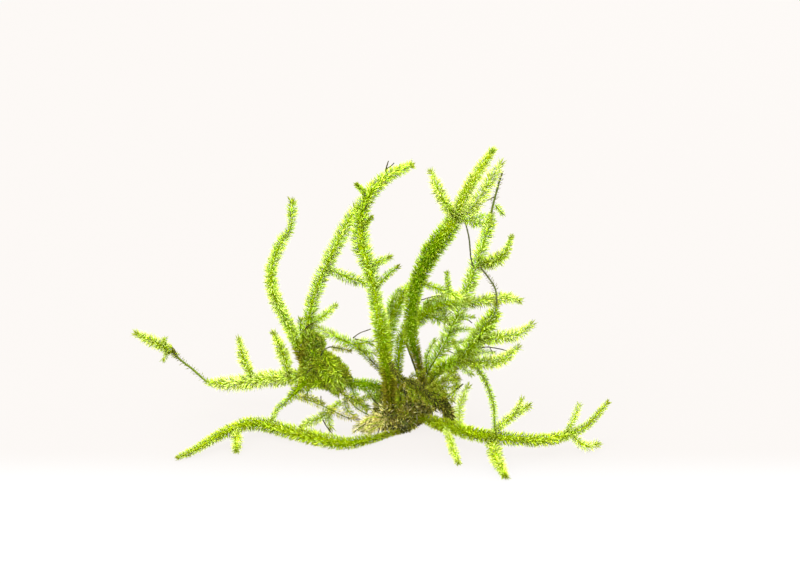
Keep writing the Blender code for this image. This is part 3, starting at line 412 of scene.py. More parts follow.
# Short leafy shoots too small for a solid, each on the piece that carries it
SMALL_SHOOTS = {
    "left_arm_frond": [
        [(-46.2, 15.2, 9.6, 0.4), (-46.6, 16.4, 9.4, 0.5), (-46.4, 17.3, 9.2, 0.3)],
        [(-45.8, 15.0, 9.6, 0.4), (-46.2, 13.9, 9.6, 0.5), (-46.7, 12.9, 9.6, 0.3)],
    ],
    "left_knot": [
        [(-15.2, 8.6, 0.8, 1.0), (-16.2, 12.4, 0.6, 1.25), (-17.0, 16.0, 1.2, 1.25), (-17.4, 19.0, 2.8, 1.0)],
        [(-17.8, 9.4, 0.8, 0.9), (-18.2, 12.6, 1.0, 1.0), (-17.8, 16.4, 1.6, 0.9)],
        [(-15.4, 15.4, 0.6, 0.8), (-13.8, 13.0, -0.2, 1.0), (-12.2, 10.4, -0.4, 1.0),
         (-10.8, 7.6, -0.4, 0.7)],
        [(-16.4, 13.4, 0.0, 0.8), (-14.6, 10.6, -0.8, 1.0), (-12.8, 8.4, -0.8, 0.9), (-12.0, 6.6, -0.6, 0.5)],
        [(-13.8, 9.0, -0.4, 0.9), (-16.2, 8.6, -0.6, 1.1), (-18.8, 8.4, 0.2, 0.8)],
        [(-18.2, 15.6, 1.8, 0.7), (-19.2, 18.4, 1.6, 0.8), (-19.4, 20.8, 1.4, 0.5)],
        [(-17.2, 9.0, -0.4, 0.6), (-17.6, 7.2, -1.0, 0.7), (-18.2, 6.0, -1.4, 0.4)],
    ],
    "slender_right_frond": [
        [(6.0, 10.4, 3.4, 0.4), (5.8, 13.0, 2.8, 0.5), (6.6, 15.2, 2.2, 0.5), (7.6, 17.0, 1.8, 0.35)],
        [(6.4, 10.0, 3.4, 0.5), (8.4, 10.6, 3.0, 0.6), (10.6, 10.8, 2.6, 0.4)],
        [(13.0, 24.6, 7.4, 0.6), (11.4, 25.8, 7.0, 0.7), (10.2, 27.0, 6.8, 0.4)],
        [(10.4, 18.4, 5.6, 0.4), (12.2, 19.0, 5.2, 0.5), (13.8, 19.2, 5.0, 0.5), (15.2, 19.0, 4.8, 0.35)],
        [(9.8, 16.0, 5.2, 0.4), (11.6, 16.2, 4.8, 0.5), (13.2, 16.6, 4.6, 0.5), (14.6, 17.2, 4.4, 0.35)],
        [(11.6, 21.4, 6.4, 0.4), (13.4, 21.6, 6.0, 0.5), (15.2, 21.6, 5.8, 0.35)],
        [(19.6, 44.0, 9.7, 0.4), (20.4, 43.2, 9.6, 0.6), (21.2, 42.2, 9.5, 0.4)],
    ],
    "right_mid_frond": [
        [(9.8, 11.8, -2.4, 0.6), (11.2, 9.8, -3.0, 0.8), (12.0, 7.8, -3.4, 0.5)],
        [(12.8, 13.0, -3.4, 0.6), (12.2, 14.6, -3.8, 0.7), (11.4, 16.4, -4.0, 0.4)],
        [(12.4, 12.8, -3.4, 0.5), (13.4, 11.2, -3.6, 0.7), (14.8, 10.2, -3.8, 0.4)],
        [(14.4, 14.2, -4.0, 0.5), (17.0, 14.6, -4.8, 0.6), (19.4, 14.4, -5.2, 0.4)],
    ],
    "broad_side_frond": [
        [(8.4, 23.8, 1.8, 0.5), (9.4, 22.4, 1.4, 0.7), (9.8, 20.6, 1.2, 0.4)],
        [(5.4, 24.0, 1.8, 0.5), (7.2, 25.2, 1.4, 0.6), (9.2, 25.8, 1.2, 0.4)],
        [(6.4, 22.4, 1.8, 0.6), (7.4, 21.6, 1.6, 1.1), (8.6, 21.0, 1.4, 1.1), (9.6, 21.4, 1.2, 0.7)],
    ],
    "short_olive_shoot": [
        [(7.2, 7.6, -3.6, 0.5), (9.0, 7.8, -4.4, 0.7), (10.8, 7.4, -5.2, 0.4)],
        [(9.0, 9.0, -4.6, 0.5), (10.6, 8.8, -5.4, 0.6), (12.2, 9.2, -6.0, 0.4)],
        [(7.4, 8.0, -3.6, 0.5), (9.4, 6.6, -4.6, 0.7), (11.0, 4.8, -5.6, 0.4)],
        [(11.4, 10.8, -5.0, 0.4), (12.0, 9.2, -5.4, 0.7), (11.6, 7.0, -5.8, 0.7), (11.2, 5.4, -6.0, 0.4)],
    ],
    "bridge_frond": [
        [(-6.8, 7.8, 0.4, 0.5), (-5.0, 5.6, -0.6, 0.7), (-3.2, 4.2, -1.4, 0.4)],
        [(-9.4, 8.4, 0.8, 0.5), (-8.6, 6.2, 0.0, 0.8), (-7.4, 4.4, -0.8, 0.7), (-6.2, 3.2, -1.4, 0.4)],
        [(-5.2, 8.0, 0.0, 0.5), (-4.0, 5.8, -1.0, 0.8), (-3.0, 4.0, -1.8, 0.5)],
    ],
    "brown_knot_stem": [
        [(-9.0, 4.6, -1.6, 0.4), (-7.4, 5.0, -2.0, 0.6), (-5.4, 5.8, -2.4, 0.4)],
        [(-11.0, 6.4, -1.4, 0.4), (-9.6, 5.6, -2.0, 0.8), (-7.6, 4.4, -2.4, 0.8), (-6.0, 3.6, -2.6, 0.4)],
        [(-10.4, 5.6, -1.6, 0.5), (-10.4, 4.0, -2.2, 0.8), (-9.6, 2.6, -2.6, 0.7), (-8.6, 1.8, -2.8, 0.4)],
    ],
    "brown_leafy_stem": [
        [(-19.6, 5.6, -6.0, 0.5), (-17.0, 5.4, -6.2, 0.6), (-15.0, 4.4, -6.4, 0.4)],
    ],
    "small_bright_frond": [
        [(-13.2, 2.8, -4.4, 0.5), (-13.6, 0.8, -4.8, 0.8), (-13.2, -0.6, -5.2, 0.4)],
    ],
    "grey_stem": [
        [(-13.2, 15.5, -1.9, 0.4), (-11.6, 15.3, -2.4, 0.6), (-9.6, 14.9, -2.8, 0.4)],
    ],
    "thick_right_branch": [
        [(14.8, 41.2, -6.2, 0.5), (17.0, 41.8, -6.4, 0.6), (18.8, 41.9, -6.6, 0.4)],
    ],
    "fork_frond": [
        [(-0.8, 21.4, 4.2, 0.5), (-1.4, 23.6, 4.2, 0.8), (-0.8, 25.4, 4.4, 0.7), (0.2, 26.8, 4.6, 0.4)],
    ],
    "dark_curved_stem": [
        [(0.4, 3.4, -6.4, 0.5), (0.7, 5.0, -6.7, 0.8), (0.4, 6.8, -6.4, 0.4)],
        [(2.2, 9.0, -5.8, 0.4), (3.6, 10.0, -5.4, 0.6), (5.2, 10.4, -5.0, 0.4)],
        [(4.0, 8.0, -6.2, 0.4), (5.2, 6.2, -6.6, 0.7), (6.4, 4.4, -6.8, 0.4)],
        [(5.6, 6.8, -6.0, 0.4), (7.4, 6.4, -6.4, 0.7), (9.2, 5.6, -6.6, 0.4)],
        [(2.0, 8.8, -6.2, 0.4), (2.8, 6.8, -6.6, 0.7), (3.6, 5.0, -6.8, 0.4)],
    ],
    "upper_arch_frond": [
        [(-8.6, 16.2, -0.9, 0.5), (-7.0, 16.4, -1.2, 1.0), (-5.4, 16.4, -1.4, 0.8)],
        [(-8.0, 15.4, -1.0, 0.5), (-6.4, 14.6, -1.6, 0.8), (-4.8, 14.4, -2.0, 0.5)],
    ],
}
# The age of the leaves on these, at the foot and at the tip, where it isn't the usual one
SMALL_SHOOT_AGES = {
    "dark_curved_stem": (0.3, 0.7), "grey_stem": (0.8, 1.3), "brown_leafy_stem": (0.7, 1.4),
    "brown_knot_stem": (1.0, 1.7), "short_olive_shoot": (1.1, 1.9),
}
# Shoots of the dark slot whose leaves are the middle green
GREEN_LEAVED = ("drooping_stem", "knot_drop_shoot")
ALL_YOUNG = {0: 1.5, 0.4: 1.9, 1: 2.0}

# Every node that is a shoot or a stem
SHOOTS = {
    "thick_frond": shoots(
        "leaf_dark", (THICK, 24, {0: 0.0, 0.14: 0.3, 0.22: 0.9, 0.6: 0.9, 0.67: 1.4, 0.73: 1.9, 1: 2.0}),
        body=0.6, further=1.05,
    ),
    "tall_left_frond": shoots(
        "leaf_green",
        (TALL_LEFT, 20, {
            0: 0.0, 0.1: 0.1, 0.18: 0.7, 0.27: 0.9, 0.38: 1.6, 0.6: 1.7, 0.78: 1.2, 0.9: 1.5, 1: 1.3,
        }),
        (TALL_LEFT_FIRST_SHOOT, 12, {0: 1.2, 1: 0.9}), (TALL_LEFT_SECOND_SHOOT, 18, {0: 1.4, 1: 1.8}),
        (TALL_LEFT_BUDS[0], 18, {0: 1.0, 1: 1.2}), (TALL_LEFT_BUDS[1], 18, {0: 1.0, 1: 1.2}),
        body=0.48, further=1.05,
    ),
    "low_left_frond": shoots(
        "leaf_bright", (LOW_LEFT, 20, {0: 0.2, 0.08: 0.6, 0.2: 0.9, 0.5: 1.1, 0.8: 1.3, 1: 1.4}),
        (LOW_LEFT_SHOOT, 16, ALL_YOUNG), place=by_height, body=0.62, further=1.05,
    ),
    "right_arm_frond": shoots(
        "leaf_bright", (RIGHT_ARM, 20, {0: 0.3, 0.1: 0.8, 0.3: 1.0, 0.6: 1.1, 1: 1.5}),
        place=by_height, body=0.62, further=1.05,
    ),
    "slender_right_frond": shoots(
        "leaf_green",
        (SLENDER_RIGHT, 14, {0: 0.3, 0.12: 1.3, 0.3: 1.8, 0.7: 1.8, 0.77: 1.2, 0.82: 0.6, 1: 0.4}),
        body=0.0, further=1.22,
    ),
    "right_mid_frond": shoots(
        "leaf_green",
        (RIGHT_MID, 18, {0: 0.3, 0.15: 1.0, 0.45: 1.4, 0.62: 1.3, 0.68: 0.9, 0.74: 0.4, 1: 0.3}),
        body=0.2, further=1.18,
    ),
    "left_arm_frond": shoots(
        "leaf_bright", (LEFT_ARM, 18, {0: 1.2, 0.2: 1.6, 0.5: 1.9, 0.58: 0.7, 0.8: 0.6, 0.84: 1.5, 1: 2.0}),
        (LEFT_ARM_FIRST_SHOOT, 16, ALL_YOUNG), (LEFT_ARM_SECOND_SHOOT, 14, ALL_YOUNG), body=0.36, further=1.1,
    ),
    "left_curl_frond": shoots(
        "leaf_green",
        (LEFT_CURL, 18, {0: 0.1, 0.14: 0.3, 0.22: 1.4, 0.4: 1.8, 0.8: 1.8, 0.86: 0.8, 0.9: 1.7, 1: 1.1}),
        body=0.3, further=1.1,
    ),
    "left_upright_frond": shoots(
        "leaf_green", (LEFT_UPRIGHT, 18, {0: 0.6, 0.15: 1.2, 0.4: 1.7, 1: 1.9}),
        (LEFT_UPRIGHT_LOWER_SHOOT, 14, ALL_YOUNG), (LEFT_UPRIGHT_CROSS_SHOOT, 15, {0: 1.6, 1: 1.5}),
        body=0.36, further=1.1,
    ),
    "fork_frond": shoots(
        "leaf_dark", (FORK, 20, {0: 0.3, 0.2: 0.9, 0.5: 1.3, 0.8: 1.7, 1: 1.9}), body=0.5, further=1.1,
    ),
    "broad_side_frond": shoots(
        "leaf_green", (BROAD_SIDE, 20, {0: 0.2, 0.2: 0.9, 0.5: 1.2, 0.8: 1.5, 1: 1.8}),
        (BROAD_SIDE_ROOT, 0, {0: 0.4, 1: 0.1}), body=0.5, further=1.12,
    ),
    "thick_left_branch": shoots("leaf_bright", (THICK_LEFT, 13, ALL_YOUNG), body=0.0, further=1.15),
    "thick_twin_branch": shoots("leaf_bright", (THICK_TWIN, 13, ALL_YOUNG), body=0.0, further=1.15),
    "thick_right_branch": shoots("leaf_green", (THICK_RIGHT, 16, {0: 1.2, 1: 1.7}), body=0.0),
    "thick_bare_twig": shoots("stem_brown", (THICK_TWIG, 0, {0: 0.35, 1: 0.3})),
    "crossing_shoot": shoots(
        "leaf_green", (CROSSING, 16, {0: 1.0, 0.5: 1.5, 1: 1.8}), (CROSSING_SHOOT, 16, {0: 1.1, 1: 1.4}),
    ),
    "hook_branch": shoots("leaf_bright", (HOOK, 18, {0: 1.4, 0.5: 1.6, 1: 1.9}), body=0.2, further=1.1),
    "level_branch": shoots("leaf_bright", (LEVEL, 16, {0: 1.2, 1: 1.9}), body=0.0, further=1.2),
    "right_mid_upper_branch": shoots(
        "leaf_bright", (RIGHT_MID_UPPER, 16, {0: 1.2, 0.6: 1.9, 0.85: 1.8, 1: 1.6}), body=0.0, further=1.15,
    ),
    "right_mid_lower_branch": shoots(
        "leaf_bright", (RIGHT_MID_LOWER, 15, {0: 1.1, 0.5: 1.8, 1: 2.0}), body=0.0, further=1.2,
    ),
    "drooping_stem": shoots(
        "leaf_dark", ([(*row[:3], 0.5 * row[3]) for row in DROOPING], 0, {0: 0.45, 1: 0.8}),
        (DROOPING, 9, {0: 0.7, 0.4: 1.0, 1: 1.5}), body=0.0,
    ),
    "right_arm_up_branch": shoots("leaf_bright", (RIGHT_ARM_UP, 14, ALL_YOUNG), place=by_height),
    "right_arm_end_branch": shoots("leaf_bright", (RIGHT_ARM_END, 16, ALL_YOUNG), place=by_height),
    "right_arm_fork_branch": shoots(
        "leaf_bright", (RIGHT_ARM_FORK, 16, ALL_YOUNG), (RIGHT_ARM_FORK_TIP, 14, ALL_YOUNG), place=by_height,
    ),
    "right_arm_down_branch": shoots(
        "leaf_bright", (RIGHT_ARM_DOWN, 18, {0: 1.4, 0.5: 1.9, 1: 1.5}), place=by_height, body=0.5,
    ),
    "pale_down_shoot": shoots("leaf_bright", (PALE_DOWN, 13, {0: 1.8, 1: 2.0}), place=by_height, body=0.0),
    "pale_upright_shoot": shoots("leaf_bright", (PALE_UPRIGHT, 13, {0: 1.6, 1: 2.0}), body=0.0),
    "dark_curved_stem": shoots(
        "stub_dark", ([(*row[:2], row[2] - 1.2, 1.3 * row[3]) for row in DARK_CURVED], 0, {0: 0.0, 1: 0.0}),
        ([(*row[:2], row[2] - 1.2, 1.4 * row[3]) for row in DARK_CURVED], 4, {0: 0.5, 1: 0.4}),
    ),
    "short_olive_shoot": shoots("stem_brown", (SHORT_OLIVE, 13, {0: 0.8, 1: 1.9}), body=0.0),
    "thin_brown_stem": shoots("stem_brown", (THIN_BROWN, 0, {0: 0.2, 1: 0.3})),
    "bridge_frond": shoots("leaf_dark", (BRIDGE, 20, {0: 0.7, 0.5: 1.0, 1: 0.4}), body=0.5),
    "brown_knot_stem": shoots("stem_brown", (KNOT_STEM, 4, {0: 0.4, 1: 1.2})),
    "grey_stem": shoots("stem_brown", ([(*row[:3], 0.6 * row[3]) for row in GREY], 0, {0: 0.4, 1: 0.3})),
    "knot_drop_shoot": shoots("leaf_dark", (KNOT_DROP, 17, {0: 0.7, 0.5: 0.9, 1: 1.6})),
    "brown_leafy_stem": shoots("stem_brown", (BROWN_LEAFY, 8, {0: 1.4, 0.5: 0.9, 1: 0.2}), body=0.0),
    "small_bright_frond": shoots("leaf_bright", (SMALL_BRIGHT, 16, {0: 1.1, 0.5: 1.9, 1: 1.7}), body=0.2),
    "upper_arch_frond": shoots(
        "leaf_green", (UPPER_ARCH, 13, {0: 0.0, 0.35: 0.3, 0.6: 1.0, 1: 1.7}), body=0.0,
    ),
    "back_left_shoot": shoots("leaf_green", (BACK_LEFT, 17, {0: 0.2, 0.3: 1.2, 1: 1.9}), place=by_plan),
    "back_right_shoot": shoots("leaf_green", (BACK_RIGHT, 17, {0: 0.2, 0.3: 1.2, 1: 1.9}), place=by_plan),
}


def unit(vectors):
    """The vectors at length one."""
    return vectors / np.maximum(np.linalg.norm(vectors, axis=-1, keepdims=True), 1e-12)


class Path:
    """A smooth curve through a shoot's points, with directions along and across it, in millimetres."""

    def __init__(self, rows, place):
        knots = np.array([[*place(*row[:3]), row[3]] for row in rows])
        ends = np.vstack([2 * knots[:1] - knots[1:2], knots, 2 * knots[-1:] - knots[-2:-1]])
        parts = []
        for before, start, end, after in zip(ends, ends[1:], ends[2:], ends[3:]):
            steps = max(2, math.ceil(np.linalg.norm((end - start)[:3]) / PATH_STEP))
            t = (np.arange(steps) / steps)[:, None]
            bend = 2 * start + (end - before) * t
            bend = bend + (2 * before - 5 * start + 4 * end - after) * t ** 2
            bend = bend + (3 * start - before - 3 * end + after) * t ** 3
            parts.append(0.5 * bend)
        parts.append(knots[-1:])
        points = np.vstack(parts)
        self.points = points[:, :3]
        self.radii = np.maximum(points[:, 3], 0.1)
        gaps = np.linalg.norm(np.diff(self.points, axis=0), axis=1)
        self.lengths = np.concatenate([[0.0], np.cumsum(gaps)])
        self.total = self.lengths[-1]
        self.along = unit(np.gradient(self.points, axis=0))
        self.across = np.empty_like(self.along)
        side = np.array([0.31, 0.52, 0.79])
        for index, way in enumerate(self.along):
            side = unit(side - way * side.dot(way))
            self.across[index] = side
        self.other = np.cross(self.along, self.across)

    def at(self, lengths, values):
        """The values, one for each point of the path, at these lengths along it."""
        if values.ndim == 1:
            return np.interp(lengths, self.lengths, values)
        return np.stack([np.interp(lengths, self.lengths, values[:, axis]) for axis in range(3)], axis=1)


def stem_radii(path, density):
    """The half-width of the stem itself along a path: thin inside the leaves, nearly all of a bare shoot."""
    leafy = np.clip(LEAFY_STEM * path.radii, *LEAFY_STEM_LIMITS)
    bare = BARE_STEM * path.radii
    share = np.clip((path.radii - BARE_RADIUS) / BARE_CHANGE, 0.0, 1.0) if density else 0.0
    return bare + (leafy - bare) * share


class Heap:
    """Corners and faces gathered for one piece, with the numbers that its materials read."""

    VALUES = ("age", "along", "shade", "middle")

    def __init__(self, seed):
        self.random = np.random.default_rng(seed)
        self.corners = []
        self.quads = []
        self.triangles = []
        self.values = {name: [] for name in self.VALUES}
        self.count = 0

    def add(self, corners, quads, triangles, material, **values):
        """Adds closed shapes with a material number, and one value for each corner or for all of them."""
        corners = corners.reshape(-1, 3)
        self.corners.append(corners)
        for faces, kept in ((quads, self.quads), (triangles, self.triangles)):
            if len(faces):
                kept.append((np.asarray(faces) + self.count, material))
        for name in self.VALUES:
            self.values[name].append(np.broadcast_to(values[name], len(corners)))
        self.count += len(corners)

    def piece(self, name, materials):
        """Turns the heap into a mesh object, kept over the surface that the clump stands on."""
        corners = np.concatenate(self.corners)
        corners[:, 2] = np.maximum(corners[:, 2], FLOOR_CLEARANCE)
        data = bpy.data.meshes.new(name)
        data.vertices.add(len(corners))
        data.vertices.foreach_set("co", (corners * MM).astype(np.float32).ravel())
        groups = self.quads + self.triangles
        sides = np.concatenate([np.full(len(faces), faces.shape[1]) for faces, _ in groups])
        data.loops.add(int(sides.sum()))
        order = np.concatenate([faces.ravel() for faces, _ in groups])
        data.loops.foreach_set("vertex_index", order.astype(np.int32))
        data.polygons.add(len(sides))
        starts = np.concatenate([[0], np.cumsum(sides)[:-1]]).astype(np.int32)
        data.polygons.foreach_set("loop_start", starts)
        numbers = np.concatenate([np.full(len(faces), number) for faces, number in groups])
        data.polygons.foreach_set("material_index", numbers.astype(np.int32))
        data.polygons.foreach_set("use_smooth", numbers > 0)
        for value in self.VALUES:
            attribute = data.attributes.new(value, "FLOAT", "POINT")
            stored = np.concatenate(self.values[value]).astype(np.float32)
            attribute.data.foreach_set("value", stored)
        for made in materials:
            data.materials.append(made)
        data.update(calc_edges=True)
        data.validate()
        thing = bpy.data.objects.new(name, data)
        bpy.context.scene.collection.objects.link(thing)
        return thing


def strip_faces(count, rings, sides):
    """Quads round and along count closed tubes, each of so many rings, and the triangles of its two ends."""
    size = rings * sides + 2
    ring = np.arange(rings - 1)[:, None] * sides
    side = np.arange(sides)[None, :]
    after = (side + 1) % sides
    quads = np.stack([ring + side, ring + after, ring + sides + after, ring + sides + side], axis=-1)
    quads = quads.reshape(-1, 4)
    side, after = side[0], after[0]
    start, end = rings * sides, rings * sides + 1
    low = np.stack([after, side, np.full(sides, start)], axis=-1)
    last = (rings - 1) * sides
    high = np.stack([last + side, last + after, np.full(sides, end)], axis=-1)
    triangles = np.concatenate([low, high])
    offsets = np.arange(count)[:, None, None] * size
    return (quads[None] + offsets).reshape(-1, 4), (triangles[None] + offsets).reshape(-1, 3)


def add_leaves(heap, material, bases, ways, lengths, widths, ages, curl=0.12, swing=0.45, dim=0.0):
    """Adds thin closed leaves. ways are the directions out of the stem; the blade lies across them.

    ways is (outward direction, direction of the shoot): a leaf's face looks back towards the shoot's tip.
    dim, from 0 to 1, says how much darker the leaves are.
    """
    direction, tipward = ways
    random = heap.random
    count = len(bases)
    direction = unit(direction)
    side = unit(np.cross(tipward, direction))
    face = np.cross(direction, side)
    turn = random.normal(0.0, swing, count)[:, None]
    side, face = np.cos(turn) * side + np.sin(turn) * face, np.cos(turn) * face - np.sin(turn) * side
    curls = (curl + random.normal(0.0, 0.12, count))[:, None]
    sways = random.normal(0.0, 0.07, count)[:, None]
    length = lengths[:, None]
    middle = bases + length * (LEAF_WIDEST * direction + curls * LEAF_WIDEST ** 2 * face)
    middle = middle + length * sways * LEAF_WIDEST ** 2 * side
    half = 0.5 * widths[:, None]
    raised = LEAF_CUP * half * face
    left = middle - half * side + raised
    right = middle + half * side + raised
    keel = middle - LEAF_KEEL * face
    root = bases - LEAF_SUNK * length * direction
    tip = bases + length * (direction + curls * face + sways * side)
    corners = np.stack([left, keel, right, root, tip], axis=1)
    along = (LEAF_WIDEST, LEAF_WIDEST, LEAF_WIDEST, 0.0, 1.0)
    from_edge = (0.0, 1.0, 0.0, 1.0, 0.0)
    heap.add(
        corners, *strip_faces(count, 1, 3), material,
        age=np.repeat(ages, len(along)), along=np.tile(along, count), middle=np.tile(from_edge, count),
        shade=np.repeat(random.random(count) * (1.0 - dim), len(along)),
    )


def add_stem(heap, material, path, radii, ages, sides=STEM_SIDES, step=STEM_STEP, rough=0.1):
    """Adds a closed, slightly knobbly tube along a path."""
    rings = max(3, math.ceil(path.total / step))
    lengths = np.linspace(0.0, path.total, rings)
    spots = path.at(lengths, path.points)
    across = unit(path.at(lengths, path.across))
    other = unit(path.at(lengths, path.other))
    angles = 2 * math.pi * np.arange(sides) / sides
    knobs = 1.0 + rough * heap.random.normal(0.0, 1.0, (rings, sides)).clip(-1.6, 1.6)
    sizes = path.at(lengths, radii)[:, None] * knobs
    cosines, sines = np.cos(angles)[None, :, None], np.sin(angles)[None, :, None]
    skin = spots[:, None] + sizes[..., None] * (cosines * across[:, None] + sines * other[:, None])
    corners = np.concatenate([skin.reshape(-1, 3), spots[:1], spots[-1:] + 0.5 * radii[-1] * path.along[-1:]])
    quads, triangles = strip_faces(1, rings, sides)
    ring_ages = path.at(lengths, ages) if ages.ndim else np.full(rings, float(ages))
    corner_ages = np.concatenate([np.repeat(ring_ages, sides), ring_ages[:1], ring_ages[-1:]])
    heap.add(
        corners, quads, triangles, material,
        age=corner_ages, along=0.0, middle=1.0, shade=heap.random.random(len(corners)),
    )


def leaf_places(random, path, density):
    """Where leaves start along a path: one after the other by the density, few where it is bare."""
    wanted = np.where(path.radii > BARE_RADIUS, LEAF_CROWDING * density, min(density, 8.0))
    steps = np.diff(path.lengths) * 0.5 * (wanted[1:] + wanted[:-1])
    grown = np.concatenate([[0.0], np.cumsum(steps)])
    count = int(grown[-1])
    lengths = np.interp(np.arange(count) + 0.5, grown, path.lengths)
    return np.clip(lengths + random.normal(0.0, 0.03, count), 0.0, path.total)


def add_body(heap, material, path, body, ages):
    """Adds the close inner leaves of a shoot as one knobbly tube, sunk in the stem where that is bare."""
    leafy = np.clip((path.radii - BARE_RADIUS) / BARE_CHANGE, 0.0, 1.0)
    share = body * np.clip(path.radii / 1.3, 0.4, 1.0)
    radii = 0.03 + (share * path.radii - 0.03) * leafy
    radii = radii * np.clip((path.total - path.lengths) / 0.8, 0.3, 1.0)
    # The tube takes the leaves' foot colour at 0.4 younger, so paler: painted light that lifts the core out of
    # the shade that falls in it.
    young = np.minimum(ages + 0.4, 2.0)
    add_stem(heap, material, path, radii, young, sides=7, step=0.32, rough=0.22)
    return radii


def add_shoot(heap, rows, place, density, profile, leaf=0, stem=1, opening=1.0, body=0.25, further=1.0):
    """Adds one shoot: its stem, and leaves in a spiral that get short and close at the tip."""
    path = Path(rows, place)
    random = heap.random
    path_ages = np.interp(path.lengths / path.total, list(profile), list(profile.values()))
    radii = stem_radii(path, density)
    add_stem(heap, stem, path, radii, path_ages)
    if density and body:
        radii = np.maximum(radii, add_body(heap, leaf, path, body, path_ages))
    lengths = leaf_places(random, path, density)
    count = len(lengths)
    if not count:
        return
    to_tip = path.total - lengths
    before_tip = np.minimum(lengths, path.total - 1.8)
    reach = np.maximum(path.at(lengths, path.radii), 0.85 * path.at(before_tip, path.radii))
    stem_radius = path.at(lengths, radii)
    along = unit(path.at(lengths, path.along))
    across = unit(path.at(lengths, path.across))
    other = np.cross(along, across)
    angles = np.arange(count) * GOLDEN_ANGLE + random.normal(0.0, 0.25, count)
    outward = np.cos(angles)[:, None] * across + np.sin(angles)[:, None] * other
    opened = ADDED_SPREAD * np.clip(to_tip / 1.1, 0.0, 1.0) ** 0.7
    spread = opening * np.radians(TIP_SPREAD + opened + random.normal(0.0, 10.0, count))
    spread = np.clip(spread, *np.radians(SPREAD_LIMITS))
    direction = np.cos(spread)[:, None] * along + np.sin(spread)[:, None] * outward
    bases = path.at(lengths, path.points) + 0.7 * stem_radius[:, None] * outward
    size = (1.08 * further * reach - 0.7 * stem_radius) / np.sin(np.maximum(spread, np.radians(45.0)))
    size = size * random.uniform(1.1, 1.75, count)
    size = np.clip(size, random.uniform(*LEAST_LEAF, count), GREATEST_LEAF)
    widths = np.clip(LEAF_SLIMNESS * size * random.uniform(0.85, 1.15, count), *LEAF_WIDTHS)
    closing = np.clip(1.0 - to_tip / 0.9, 0.0, 1.0)
    leaf_ages = path.at(lengths, path_ages) + random.normal(0.0, 0.2, count) - 0.5 * closing
    leaf_ages = np.clip(leaf_ages, 0.0, 2.0)
    bare = path.at(lengths, path.radii) < BARE_RADIUS
    dim = np.where(bare, 1.0, np.clip(1.0 - to_tip / 0.8, 0.0, 1.0))
    add_leaves(heap, leaf, bases, (direction, along), size, widths, leaf_ages, curl=0.02, dim=dim)


def add_twig(heap, rows, place):
    """Adds a thin bare twig."""
    path = Path(rows, place)
    add_stem(heap, 1, path, path.radii, np.zeros(len(path.radii)), sides=6, step=0.25, rough=0.14)


def lumpy_spot(middle, half, way, deeper):
    """The point of a lumpy ball in this direction from its middle, in millimetres."""
    centre = Vector(middle)
    spot = Vector(way[axis] * half[axis] for axis in range(3))
    wave = noise.noise(centre + spot * LUMP_WAVE) + 0.5 * noise.noise(centre + spot * 2 * LUMP_WAVE)
    return centre + spot + Vector(way) * (LUMP_HEIGHT * wave - deeper)


def add_core(heap, ball, material, fineness, deeper):
    """Adds the crumbly heart of the mat or the knot."""
    mesh = bmesh.new()
    bmesh.ops.create_icosphere(mesh, subdivisions=fineness, radius=1.0)
    corners = []
    shades = []
    for corner in mesh.verts:
        way = corner.co.normalized()
        spot = lumpy_spot(*ball, way, deeper)
        crumb = noise.noise(spot * 2.3) + 0.6 * noise.noise(spot * 5.1)
        corners.append(spot + way * 0.22 * crumb)
        shades.append(0.5 + 0.5 * noise.noise(spot * 0.9))
    triangles = [[corner.index for corner in face.verts] for face in mesh.faces]
    mesh.free()
    shade = np.array(shades)
    heap.add(np.array(corners), [], triangles, material, age=0.5, along=0.0, middle=0.0, shade=shade)


def random_ways(random, count, facing=(0.0, 0.0, 0.0)):
    """Directions spread over a ball, or over its half that faces one way."""
    ways = unit(random.normal(0.0, 1.0, (count, 3)))
    return ways * np.where(ways @ np.array(facing) < 0.0, -1.0, 1.0)[:, None]


def wander(random, ball, start, reach, lift, radius, rise):
    """Points and radii of a curve that wanders over a lumpy ball from a start, rising if it is told to."""
    way = start
    heading = unit(np.cross(way, random.normal(0.0, 1.0, 3)) + np.array([0.0, 0.0, rise]))
    turn = random.normal(0.0, 0.05)
    steps = max(3, int(reach / 0.5))
    rows = []
    for step in range(steps):
        spot = lumpy_spot(*ball, way, -lift)
        rows.append((*spot, radius * (1.0 - 0.4 * step / steps)))
        heading = unit(heading - way * heading.dot(way))
        heading = unit(heading + turn * np.cross(way, heading) + random.normal(0.0, 0.06, 3))
        way = unit(way + heading * 0.5 / np.mean(ball[1]))
        lift += random.normal(0.0, 0.1)
    return rows


def add_fibres(heap, ball, material, count, reach, rise):
    """Adds thin curved fibres that wander over a lumpy ball, now a little in it, now a little out of it."""
    random = heap.random
    for start in random_ways(random, count):
        radius = random.uniform(0.05, 0.12)
        rows = wander(random, ball, start, random.uniform(*reach), random.uniform(-0.3, 0.2), radius, rise)
        path = Path(rows, by_plan)
        ages = np.asarray(random.uniform(0.0, 0.9))
        add_stem(heap, material, path, path.radii, ages, sides=FIBRE_SIDES, step=0.4, rough=0.08)


def add_tangle(heap, ball, count, reach, lifts, ages, rise, leaf, facing=(0.0, 0.0, 0.0)):
    """Adds short leafy shoots that wander over a lumpy ball and stand a little out of it."""
    random = heap.random
    for start in random_ways(random, count, facing):
        rows = wander(random, ball, start, random.uniform(*reach), random.uniform(*lifts), 0.75, rise)
        age = random.uniform(*ages)
        add_shoot(heap, rows, by_plan, 10, {0: 0.7 * age, 1: age + 0.2}, leaf=leaf)


